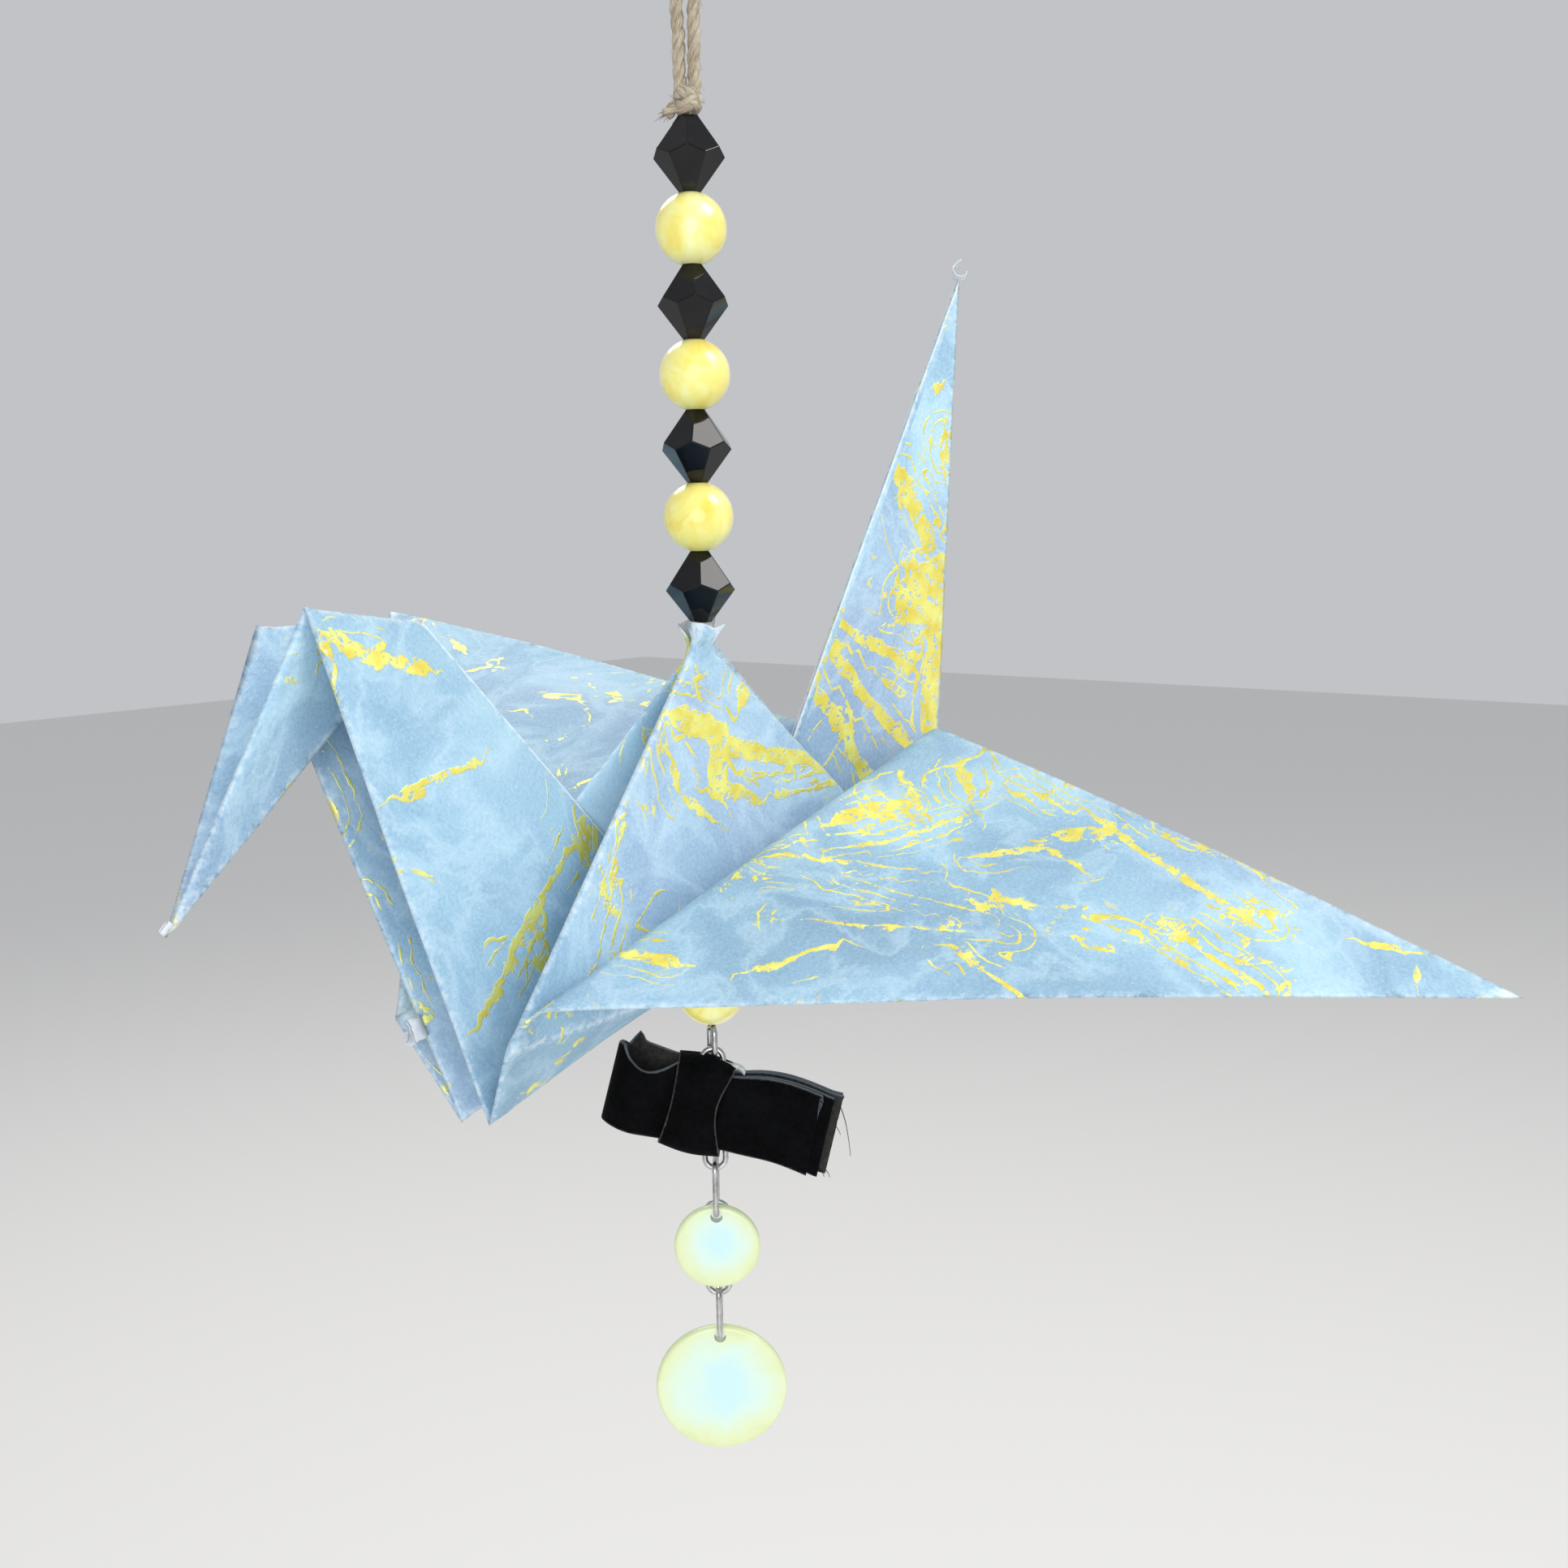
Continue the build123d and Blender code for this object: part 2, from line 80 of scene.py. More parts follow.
# Wings
near_wing = dict(front=3.9, back=26.3, root=19.0, bend=95.2, curl=4.0, bend_length=4.4)
far_wing = dict(front=6.5, back=23.8, root=28.0, bend=56.0, curl=6.0, bend_length=5.0)
bend_steps = 7
curl_steps = 8

eighth = math.cos(math.pi / 8)
half_hinge = 0.5 * math.tan(math.pi / 8) * paper_side
leg_length = 0.5 * paper_side
leg_edge = leg_length / eighth
corner_reach = paper_side / math.sqrt(2)

# Beads, and the room that the paper leaves for them and for the wire
thread_hole = 1.9
wire_room = 0.75
lower_bead_top = 39.55
round_bead_diameter = 8.0
round_bead_height = 7.65
bead_room = 0.1


def vec(*xyz):
    return np.array(xyz, dtype=float)


def unit(v):
    return v / np.linalg.norm(v)


def lengths_of(rows):
    return np.linalg.norm(rows, axis=1)


def bell(distance, reach, power=2):
    """1 at no distance, falling smoothly to little at the reach and beyond."""
    return np.exp(-((distance / reach) ** power))


up = vec(0, 0, 1)
apex = vec(0, 0, -apex_drop)
face_angle = math.radians(-50.0)
facing = vec(math.sin(face_angle), -math.cos(face_angle), 0)
across = vec(math.cos(face_angle), math.sin(face_angle), 0)


# Where the corners of the folded sheet lie
def at_distances(centre_a, radius_a, centre_b, radius_b, y, choose):
    flat_a = vec(centre_a[0], 0, centre_a[2])
    flat_b = vec(centre_b[0], 0, centre_b[2])
    square_a = radius_a**2 - (y - centre_a[1]) ** 2
    square_b = radius_b**2 - (y - centre_b[1]) ** 2
    span = np.linalg.norm(flat_b - flat_a)
    way = (flat_b - flat_a) / span
    along = (square_a - square_b + span**2) / (2 * span)
    off = math.sqrt(max(square_a - along**2, 0))
    normal = vec(-way[2], 0, way[0])
    found = [flat_a + way * along + normal * (off * sign) + vec(0, y, 0) for sign in (1, -1)]
    return min(found, key=choose)


def at_three_distances(points, radii, choose):
    a, b, c = points
    ex = unit(b - a)
    span = np.linalg.norm(b - a)
    i = ex.dot(c - a)
    rest = c - a - ex * i
    ey = unit(rest)
    j = np.linalg.norm(rest)
    ez = np.cross(ex, ey)
    x = (radii[0] ** 2 - radii[1] ** 2 + span**2) / (2 * span)
    y = (radii[0] ** 2 - radii[2] ** 2 + i**2 + j**2) / (2 * j) - i / j * x
    z = math.sqrt(max(radii[0] ** 2 - x**2 - y**2, 0))
    return min((a + ex * x + ey * y + ez * (z * sign) for sign in (1, -1)), key=choose)


def crease_length(spine, edge):
    return math.sqrt(spine**2 + edge**2 - 2 * spine * edge * eighth)


def hump_face(side, spreads, pitch):
    """The front and back corners of one side of the hump, and the ways along and down that side."""
    front_spread, back_spread = spreads
    down_y = side * (front_spread + back_spread) / 2 / half_hinge
    hinge_y = side * (back_spread - front_spread) / 2 / half_hinge
    level = math.sqrt(1 - hinge_y**2)
    turn = math.radians(pitch)
    hinge = vec(math.cos(turn) * level, hinge_y, math.sin(turn) * level)
    sideways = vec(0, 1, 0) - hinge * hinge_y
    lean = math.asin(down_y / np.linalg.norm(sideways))
    downward = np.cross(hinge, unit(sideways))
    if downward[2] > 0:
        downward = -downward
    down = downward * math.cos(lean) + unit(sideways) * math.sin(lean)
    middle = apex + down * half_hinge
    return middle - hinge * half_hinge, middle + hinge * half_hinge, hinge, down


def leg_direction(rise, lean, forward):
    rise, lean = math.radians(rise), math.radians(lean)
    return vec(forward * math.cos(rise) * math.cos(lean), math.sin(lean), math.sin(rise) * math.cos(lean))


def turned(point, centre, axis, angle):
    axis, angle = unit(axis), math.radians(angle)
    v = point - centre
    along = axis * axis.dot(v) * (1 - math.cos(angle))
    return centre + v * math.cos(angle) + np.cross(axis, v) * math.sin(angle) + along


def wing_outline(side, face, shape):
    """The rows of a wing from its bend to its tip, as (front, back), and how far along the wing each lies."""
    front_corner, back_corner, hinge, down = face
    middle = (front_corner + back_corner) / 2
    outward = np.cross(hinge, down)
    if outward[1] * side < 0:
        outward = -outward
    root = math.radians(shape["root"])
    tip = middle + (outward * math.sin(root) - down * math.cos(root)) * leg_length
    normal = outward * math.cos(root) + down * math.sin(root)
    front = front_corner + (tip - front_corner) * (shape["front"] / leg_edge)
    back = back_corner + (tip - back_corner) * (shape["back"] / leg_edge)
    bend = back - front
    slope = unit(bend)
    reach = np.linalg.norm(tip - front - slope * slope.dot(tip - front))
    # The bend is a few narrow strips either side of its line, and the curl is spread over the rest
    strip_share = shape["bend_length"] / (bend_steps - 1) / reach
    shares = [(k - (bend_steps - 1) / 2) * strip_share for k in range(bend_steps)]
    angles = [shape["bend"] / bend_steps] * bend_steps
    shares += [k / curl_steps for k in range(1, curl_steps + 1)]
    angles += [shape["curl"] / (curl_steps - 1)] * curl_steps
    rows = [(front + (tip - front) * k, back + (tip - back) * k) for k in shares]
    way = max((1, -1), key=lambda sign: turned(tip, front, bend, shape["bend"] * sign).dot(normal))
    for k, angle in enumerate(angles[:-1]):
        centre = rows[k][0]
        later = [tuple(turned(p, centre, bend, angle * way) for p in row) for row in rows[k + 1 :]]
        rows = rows[: k + 1] + later
    return rows, shares


near_face = hump_face(-1, near_spread, near_pitch)
far_face = hump_face(1, far_spread, far_pitch)
near_front, near_back = near_face[:2]
far_front, far_back = far_face[:2]
front_valley = at_distances(apex, half_hinge, near_front, half_hinge, 0.0, lambda p: abs(p[0]))
back_valley = at_distances(apex, half_hinge, near_back, half_hinge, back_valley_y, lambda p: abs(p[0]))
head_top = front_valley + leg_direction(neck_rise, neck_lean, -1) * (leg_length - head_spine)
neck_edge = leg_edge - neck_fold_drop
neck_crease = crease_length(leg_length, neck_edge)
head_crease = crease_length(head_spine, head_edge)
neck_rest = neck_edge - head_edge
keels = []
brows = []
for corner, fold_y, head_y in zip((near_front, far_front), neck_fold_y, head_fold_y):
    keels.append(at_distances(front_valley, neck_crease, corner, neck_fold_drop, fold_y, lambda p: p[2]))
    brows.append(at_distances(keels[-1], neck_rest, head_top, head_crease, head_y, lambda p: p[0]))
beak = at_three_distances((head_top, *brows), (head_spine, head_edge, head_edge), lambda p: p[2])
tail_tip = back_valley + leg_direction(tail_rise, tail_lean, 1) * leg_length
tail_crease = crease_length(leg_length, leg_edge - tail_fold_drop)
rumps = [
    at_distances(back_valley, tail_crease, corner, tail_fold_drop, y, lambda p: p[2])
    for corner, y in zip((near_back, far_back), tail_fold_y)
]
wings = [wing_outline(-1, near_face, near_wing), wing_outline(1, far_face, far_wing)]

# The same corners on the flat sheet: its centre is the origin, the head is at -X and the near wing at -Y
sheet_centre = vec(0, 0)
head_corner = vec(-corner_reach, 0)
tail_corner = vec(corner_reach, 0)
wing_corners = [vec(0, -corner_reach), vec(0, corner_reach)]
# Corners and places nearer than this are one
same_place = 0.01
# The neck's outer bend starts this far along it
bend_start = 0.12


def flat(p, q, share):
    return p + (q - p) * share


def mirrored(p, a, b):
    way = unit(b - a)
    return a + way * way.dot(p - a) * 2 - (p - a)


def middle_point(front, back, folded_front, folded_back):
    """Where a line across a wing meets the wing's middle line, flat and folded."""
    span = back[0] - front[0]
    share = -front[0] / span if span > same_place else 0.5
    return flat(front, back, share), flat(folded_front, folded_back, share)


# The sheet's faces: (flat corners, folded corners, and for a second ply its fold line and the way it lies)
faces = []
seams = []
slight_bends = []


def add_face(flats, foldeds, line=None, way=None):
    faces.append((flats, foldeds, line, way))


for k, side in enumerate((-1, 1)):
    hump_corners = [vec(-half_hinge, side * half_hinge), vec(half_hinge, side * half_hinge)]
    folded_corners = [(near_front, near_back), (far_front, far_back)][k]
    valleys = [vec(-half_hinge, 0), vec(half_hinge, 0)]
    folded_valleys = [front_valley, back_valley]
    add_face([sheet_centre, *hump_corners], [apex, *folded_corners])
    for j in (0, 1):
        add_face([sheet_centre, hump_corners[j], valleys[j]], [apex, folded_corners[j], folded_valleys[j]])
    outward = vec(0, side, 0)
    inward = -outward
    # Front leg: body, neck and head
    h, v, tip = hump_corners[0], valleys[0], head_corner
    keel = flat(h, tip, neck_fold_drop / leg_edge)
    brow = flat(h, tip, 1 - head_edge / leg_edge)
    top = flat(v, tip, 1 - head_spine / leg_length)
    leg = [
        ([h, v, keel], [folded_corners[0], front_valley, keels[k]], outward),
        ([v, keel, brow], [front_valley, keels[k], brows[k]], inward),
        ([v, brow, top], [front_valley, brows[k], head_top], inward),
        ([top, brow, tip], [head_top, brows[k], beak], outward),
    ]
    # The neck's panels bend a little along their diagonals
    slight_bends += [(v, brow), (flat(mirrored(v, h, tip), brow, bend_start), brow)]
    # Back leg: body and tail
    h2, v2, tip2 = hump_corners[1], valleys[1], tail_corner
    rump = flat(h2, tip2, tail_fold_drop / leg_edge)
    back_leg = [
        ([h2, v2, rump], [folded_corners[1], back_valley, rumps[k]], outward),
        ([v2, rump, tip2], [back_valley, rumps[k], tail_tip], inward),
    ]
    for parts, a, b in ((leg, h, tip), (back_leg, h2, tip2)):
        for flats, foldeds, second_way in parts:
            add_face(flats, foldeds)
            add_face([mirrored(p, a, b) for p in flats], foldeds, (a, b), second_way)
    # Wing: rows of quads down to the tip
    tip = wing_corners[k]
    shape = (near_wing, far_wing)[k]
    rows, shares = wings[k]
    flat_front = flat(hump_corners[0], tip, shape["front"] / leg_edge)
    flat_back = flat(hump_corners[1], tip, shape["back"] / leg_edge)
    flat_rows = [tuple(hump_corners)]
    flat_rows += [(flat(flat_front, tip, share), flat(flat_back, tip, share)) for share in shares]
    rows = [tuple(folded_corners)] + rows
    below = vec(0, side * 0.6, -1)
    for (f0, b0), (f1, b1), (g0, c0), (g1, c1) in zip(flat_rows[:-1], flat_rows[1:], rows[:-1], rows[1:]):
        # The last row ends in a point
        count = 3 if np.linalg.norm(b1 - f1) < same_place else 4
        add_face([f0, b0, b1, f1][:count], [g0, c0, c1, g1][:count])
        m0, n0 = middle_point(f0, b0, g0, c0)
        m1, n1 = middle_point(f1, b1, g1, c1)
        for a, halves, folded_halves in (
            (hump_corners[0], [f0, m0, m1, f1], [g0, n0, n1, g1]),
            (hump_corners[1], [m0, b0, b1, m1], [n0, c0, c1, n1]),
        ):
            under = [mirrored(p, a, tip) for p in halves[:count]]
            add_face(under, folded_halves[:count], (a, tip), below)
    # The wing's and the leg's second plies join along a line from the hump's corner to the edge's middle
    hinge_middle = sum(folded_corners) / 2
    for j in (0, 1):
        seam_end = mirrored(vec(0, side * half_hinge), hump_corners[j], tip)
        seams.append((hump_corners[j], seam_end, folded_valleys[j] - hinge_middle))


# Materials
class Value:
    """An output in a material's node tree. A sum written with it makes the nodes for the sum."""

    def __init__(self, tree, socket):
        self.tree, self.socket = tree, socket

    def __add__(self, other):
        return maths("ADD", self, other)

    def __sub__(self, other):
        return maths("SUBTRACT", self, other)

    def __rsub__(self, other):
        return maths("SUBTRACT", other, self)

    def __mul__(self, other):
        return maths("MULTIPLY", self, other)

    def __truediv__(self, other):
        return maths("DIVIDE", self, other)


def fill(node, inputs):
    """Sets a node's inputs, each to a number, a vector, a colour or another node's output."""
    for key, value in inputs.items():
        socket = node.inputs[key]
        if isinstance(value, Value):
            value.tree.links.new(value.socket, socket)
        else:
            socket.default_value = (*value, 1) if socket.type == "RGBA" else value


def add(tree, kind, inputs, output=0, **settings):
    """A new node's output."""
    made = tree.nodes.new(f"ShaderNode{kind}")
    for key, value in settings.items():
        setattr(made, key, value)
    fill(made, inputs)
    return Value(tree, made.outputs[output])


def maths(operation, a, b=0.0, clamp=False):
    tree = a.tree if isinstance(a, Value) else b.tree
    return add(tree, "Math", {0: a, 1: b}, operation=operation, use_clamp=clamp)


def vectors(operation, a, b, socket=1, output=0):
    return add(a.tree, "VectorMath", {0: a, socket: b}, output, operation=operation)


def ramp(value, *stops):
    """A colour for a value, from stops of (place, colour)."""
    made = value.tree.nodes.new("ShaderNodeValToRGB")
    fill(made, {0: value})
    elements = made.color_ramp.elements
    while len(elements) < len(stops):
        elements.new(0.5)
    for element, (position, colour) in zip(elements, stops):
        element.position = position
        element.color = (*colour, 1)
    return Value(value.tree, made.outputs[0])


def blend(ground, colour, share, mode="MIX"):
    """A ground with a colour over it."""
    settings = dict(data_type="RGBA", blend_type=mode, clamp_factor=True)
    return add(ground.tree, "Mix", {0: share, 6: ground, 7: colour}, 2, **settings)


def noise_at(place, scale, detail=3.0, roughness=0.5, distortion=0.0, output="Fac"):
    inputs = dict(Vector=place, Scale=scale, Detail=detail, Roughness=roughness, Distortion=distortion)
    return add(place.tree, "TexNoise", inputs, output)


def warped(place, scale, amount):
    """A place that noise moves about."""
    centred = vectors("SUBTRACT", noise_at(place, scale, 2.0, output="Color"), (0.5, 0.5, 0.5))
    return vectors("ADD", place, vectors("SCALE", centred, amount, "Scale"))


def near(value, centre, width):
    """1 where the value is at the centre, falling to 0 a width away."""
    return maths("SUBTRACT", 1.0, maths("ABSOLUTE", value - centre) / width, clamp=True)


def step_up(value, low, high):
    """0 up to the low value, 1 from the high one, and a straight rise between."""
    return add(value.tree, "MapRange", {"Value": value, "From Min": low, "From Max": high}, clamp=True)


def new_material(name):
    material = bpy.data.materials.new(name)
    material.use_nodes = True
    return material, material.node_tree


def object_material(name):
    """A new material, and the place on its object."""
    material, tree = new_material(name)
    return material, add(tree, "TexCoord", {}, "Object")


def finished(material, colour, bump, inputs):
    """The material with its colour, its bump as (height, strength, depth) and its other inputs."""
    tree = material.node_tree
    height, strength, depth = bump
    normal = add(tree, "Bump", {"Height": height, "Strength": strength, "Distance": depth * MM})
    fill(tree.nodes["Principled BSDF"], {"Base Color": colour, "Normal": normal, **inputs})
    return material


# Colours of the paper
steel_blue = (0.24, 0.39, 0.52)
middle_blue = (0.31, 0.50, 0.65)
sky_blue = (0.43, 0.66, 0.79)
soft_blue = (0.35, 0.50, 0.67)
lavender = (0.37, 0.46, 0.63)
pale_comb = (0.60, 0.79, 0.89)
dark_comb = (0.20, 0.34, 0.50)
fleck_white = (0.74, 0.87, 0.93)
# White of the fibre at raw edges and worn folds, also used as the painted highlight along the folds
fibre_and_highlight_white = (0.80, 0.90, 0.94)
deep_gold = (0.88, 0.73, 0.10)
bright_gold = (1.0, 0.98, 0.27)

# How the gold strays from its strokes, in millimetres
stroke_wander = 3.0
stroke_jitter = 4.6
line_reach = 3.2
echo_lines = [(1.5, 0.20), (2.9, 0.16)]
pool_reach = 6.0

# The main strokes of gold on the flat sheet: (half width, points), in millimetres from the sheet's centre
gold_strokes = [
    # Hump
    (1.6, [(-6, -10), (0, -13), (-2, -18)]),
    (1.0, [(0, -14), (8, -16), (17, -18)]),
    (0.8, [(0, -19), (4, -21)]),
    (0.9, [(6, -7), (5, -9)]),
    (0.4, [(-9, -13), (-8, -19), (-4, -22)]),
    (0.3, [(8, -21), (20, -21)]),
    (0.22, [(-18, -20), (-22, -28), (-30, -40)]),
    (1.0, [(-2, 2), (-4, 3)]),
    # Neck and head
    (0.45, [(-64, 0), (-63, -12), (-60, -27)]),
    (0.9, [(-64, -1), (-62, -4)]),
    (0.8, [(-97, -12), (-90, -5)]),
    (0.4, [(-83, -18), (-79, -8)]),
    (1.8, [(-89, 16), (-84, 19)]),
    (1.8, [(-73, 23), (-62, 27)]),
    # Tail
    (1.6, [(72, -24), (84, -19), (96, -15)]),
    (0.9, [(81, 0), (78, -8), (75, -20)]),
    (0.9, [(75, 0), (72, -8), (66, -18)]),
    (1.2, [(106, -2), (101, -10)]),
    (1.2, [(92, -10), (92, -14)]),
    (1.3, [(97, -11), (100, -14)]),
    (0.7, [(84, 0), (85, -15)]),
    (0.9, [(112, -8), (114, -7)]),
    # Near wing
    (1.4, [(10, -66), (5, -61)]),
    (0.7, [(15, -73), (20, -71)]),
    (0.3, [(9, -73), (2, -67), (-5, -56)]),
    (0.2, [(-2, -72), (-4, -58)]),
    (0.15, [(-7, -80), (-6, -65)]),
    (0.15, [(-10, -84), (-15, -62)]),
    (0.35, [(19, -78), (15, -85)]),
    (0.5, [(15, -88), (8, -98), (2, -108)]),
    (0.45, [(3, -78), (7, -84), (5, -88)]),
    (0.45, [(-3, -100), (-9, -110)]),
    (0.4, [(-14, -80), (-19, -88)]),
    (0.6, [(3, -120), (3, -122)]),
    (0.9, [(-26, -49), (-26, -53)]),
    (0.4, [(-24, -62), (-18, -68)]),
]


def marbled_ground(sheet, drift, swirl, combed, mottle):
    """Sky blue and steel blue with lavender drifts, soft combed bands and a fine white mottle."""
    blues = (0.32, steel_blue), (0.48, middle_blue), (0.62, sky_blue), (0.75, soft_blue)
    ground = ramp(noise_at(swirl, 6.0), *blues)
    ground = blend(ground, lavender, step_up(noise_at(drift, 3.4, 2.0), 0.50, 0.68) * 0.65)
    ground = blend(ground, pale_comb, near(combed, 0.47, 0.05) * 0.30)
    ground = blend(ground, dark_comb, near(combed, 0.58, 0.05) * 0.30)
    ground = blend(ground, ramp(mottle, (0.32, (0.34,) * 3), (0.68, (0.68,) * 3)), 0.45, "OVERLAY")
    flecks = step_up(noise_at(sheet, 640.0, 2.0, 0.6), 0.62, 0.72)
    return blend(ground, fleck_white, flecks * 0.4)


def gold_share(sheet, drift, swirl, curl, inside_by, signed, distance, width):
    """Gold on the strokes, on thinner lines that echo them, and in pools, veins and crumbs anywhere."""
    wander = (noise_at(sheet, 24.0, 3.0, 0.6) - 0.5) * stroke_wander
    jitter = (noise_at(sheet, 62.0, 5.0, 0.68) - 0.5) * stroke_jitter
    thick = step_up(inside_by + jitter, 0.0, 0.16)
    line = step_up(width + jitter * 0.35 - maths("ABSOLUTE", signed + wander), -0.05, 0.08)
    line = line * step_up(line_reach - distance, 0.0, 0.2)
    echo_off = distance + wander * 1.3 - width
    echoes = maths("MAXIMUM", *(near(echo_off, off, half_width) for off, half_width in echo_lines))
    echoes = step_up(echoes, 0.15, 0.5) * step_up(noise_at(curl, 12.0), 0.50, 0.53)
    closer = maths("MAXIMUM", pool_reach - distance, 0.0) * 0.009
    pools = step_up(noise_at(curl, 13.0, 5.0, 0.62, 0.6) + closer, 0.640, 0.652)
    vein_line = near(noise_at(swirl, 5.5, 4.0, 0.55), 0.5, 0.0075)
    veins = step_up(vein_line * step_up(noise_at(drift, 7.0, 2.0), 0.51, 0.56), 0.2, 0.45)
    crumbs = step_up(noise_at(curl, 95.0, 2.0, 0.6), 0.60, 0.63)
    crumbs = crumbs * step_up(noise_at(swirl, 12.0) + closer, 0.57, 0.62)
    gold = thick
    for more in (line, echoes, pools, veins, crumbs):
        gold = maths("MAXIMUM", gold, more)
    return gold * step_up(noise_at(sheet, 170.0, 3.0, 0.7), 0.40, 0.44)


def paper_material():
    """Marbled paper. Its flat place, the wear with the painted highlight of the folds, and the distances to
    the gold strokes come with the mesh.
    """
    material, tree = new_material("marbled_paper")
    sheet = add(tree, "UVMap", {}, uv_map="sheet")
    names = ("wear_and_highlight", "pool", "stroke", "stroke_near", "stroke_width")
    wear_and_highlight, *stroke = [add(tree, "Attribute", {}, "Fac", attribute_name=name) for name in names]
    drift = warped(sheet, 5.0, 0.16)
    swirl = warped(drift, 13.0, 0.055)
    curl = warped(swirl, 40.0, 0.012)
    combed = noise_at(curl, 15.0, 4.0, 0.55)
    mottle = noise_at(sheet, 420.0, 4.0, 0.75)
    ground = marbled_ground(sheet, drift, swirl, combed, mottle)
    # The white at the folds and raw edges takes the gold off: white fibre at the raw edges and worn folds,
    # and a painted highlight along the folds' rounded edges
    fibre_and_highlight = wear_and_highlight * step_up(noise_at(sheet, 150.0, 4.0, 0.7) + wear_and_highlight * 0.2, 0.54, 0.70) * 0.7
    gold = maths("MULTIPLY", gold_share(sheet, drift, swirl, curl, *stroke), 1.0 - fibre_and_highlight, clamp=True)
    gold_tone = ramp(noise_at(sheet, 60.0), (0.35, deep_gold), (0.65, bright_gold))
    colour = blend(blend(ground, fibre_and_highlight_white, fibre_and_highlight), gold_tone, gold)
    relief = mottle * 0.5 + gold * 0.9 + combed * 0.8
    inputs = {"Metallic": gold * 0.5, "Roughness": 0.62 - gold * 0.2, "Specular IOR Level": 0.35}
    return finished(material, colour, (relief, 0.45, 0.16), inputs)


def plain_back():
    """The sheet's plain white side and its raw edges."""
    material, place = object_material("paper_back")
    fibre = noise_at(place, 900.0, 4.0, 0.65)
    tone = fibre * 0.6 + noise_at(place, 60.0, 2.0) * 0.4
    colour = ramp(tone, (0.35, (0.60, 0.64, 0.68)), (0.6, (0.78, 0.81, 0.84)))
    return finished(material, colour, (fibre, 0.4, 0.1), {"Roughness": 0.85})


# Meshes, lines and tubes
def make_object(name, vertices, polygons, smooth=True):
    mesh = bpy.data.meshes.new(name)
    mesh.from_pydata([tuple(v) for v in vertices], [], [tuple(p) for p in polygons])
    mesh.update()
    if smooth:
        mesh.shade_smooth()
    return linked(name, mesh)


def linked(name, data):
    made = bpy.data.objects.new(name, data)
    bpy.context.scene.collection.objects.link(made)
    return made


def add_values(mesh, name, values, kind="FLOAT", field="value"):
    attribute = mesh.attributes.new(name, kind, "POINT")
    attribute.data.foreach_set(field, np.array(values, dtype=np.float32).ravel())


def thicken(piece, thickness):
    solid = piece.modifiers.new("thickness", "SOLIDIFY")
    solid.thickness = thickness * MM
    return solid


def smooth_line(route, steps=16):
    """Points read from the smooth NURBS line that a route's points steer."""
    curve = bpy.data.curves.new("route", "CURVE")
    curve.dimensions = "3D"
    curve.resolution_u = steps
    spline = curve.splines.new("NURBS")
    spline.points.add(len(route) - 1)
    for point, place in zip(spline.points, route):
        point.co = (*place, 1)
    spline.order_u = 3
    spline.use_endpoint_u = True
    holder = bpy.data.objects.new("route", curve)
    mesh = bpy.data.meshes.new_from_object(holder)
    points = np.array([tuple(v.co) for v in mesh.vertices])
    bpy.data.objects.remove(holder)
    bpy.data.meshes.remove(mesh)
    bpy.data.curves.remove(curve)
    return points


def even_line(points, step):
    """The same line with its points an even step apart, and their distance along it."""
    lengths = np.concatenate([[0], np.cumsum(lengths_of(np.diff(points, axis=0)))])
    count = max(3, round(lengths[-1] / step) + 1)
    places = np.linspace(0, lengths[-1], count)
    return np.stack([np.interp(places, lengths, points[:, k]) for k in range(3)], axis=1), places


def frames_along(points, hint):
    """Two directions square to a line at each of its points, the first as near as it can be to the hint."""
    ways = np.gradient(points, axis=0)
    ways /= lengths_of(ways)[:, None]
    first = hint - ways * (ways @ hint)[:, None]
    first /= lengths_of(first)[:, None]
    return first, np.cross(ways, first)


class Mesh:
    """A piece that is built from several parts: its vertices and faces, and the values its material reads."""

    def __init__(self):
        self.vertices, self.polygons, self.fibre, self.edge_sheen = [], [], [], []

    def quads(self, rows, width, closed=False):
        """Joins the last rows of vertices, of an equal width, and closes them to a ring where asked."""
        start = len(self.vertices) - rows * width
        for n in range(rows if closed else rows - 1):
            for k in range(width - 1):
                here = start + n * width + k
                there = start + (n + 1) % rows * width + k
                self.polygons.append((here, there, there + 1, here + 1))

    def tube(self, points, radii, sides, hint, along, phase=0.0):
        first, second = frames_along(points, hint)
        start = len(self.vertices)
        for p, radius, u, v, s in zip(points, radii, first, second, along):
            for k in range(sides):
                turn = 2 * math.pi * k / sides
                self.vertices.append(p + (u * math.cos(turn) + v * math.sin(turn)) * radius)
                self.fibre.append((math.cos(turn) + phase, math.sin(turn) - phase, s))
        for n in range(len(points) - 1):
            for k in range(sides):
                here, there = start + n * sides + k, start + n * sides + (k + 1) % sides
                self.polygons.append((here, there, there + sides, here + sides))
        last = len(self.vertices) - sides
        self.polygons.append(tuple(range(start + sides - 1, start - 1, -1)))
        self.polygons.append(tuple(range(last, last + sides)))

    def hair(self, route, steps, radii, sides, hint):
        """A fine fibre, with its radius at either end."""
        line = smooth_line(route, steps)
        self.tube(line, np.linspace(*radii, len(line)), sides, hint, np.arange(len(line)) * hair_step)

    def finish(self, name):
        made = make_object(name, np.array(self.vertices) * MM, self.polygons)
        if self.fibre:
            add_values(made.data, "fibre", self.fibre, "FLOAT_VECTOR", "vector")
        if self.edge_sheen:
            add_values(made.data, "edge_sheen", self.edge_sheen)
        return made


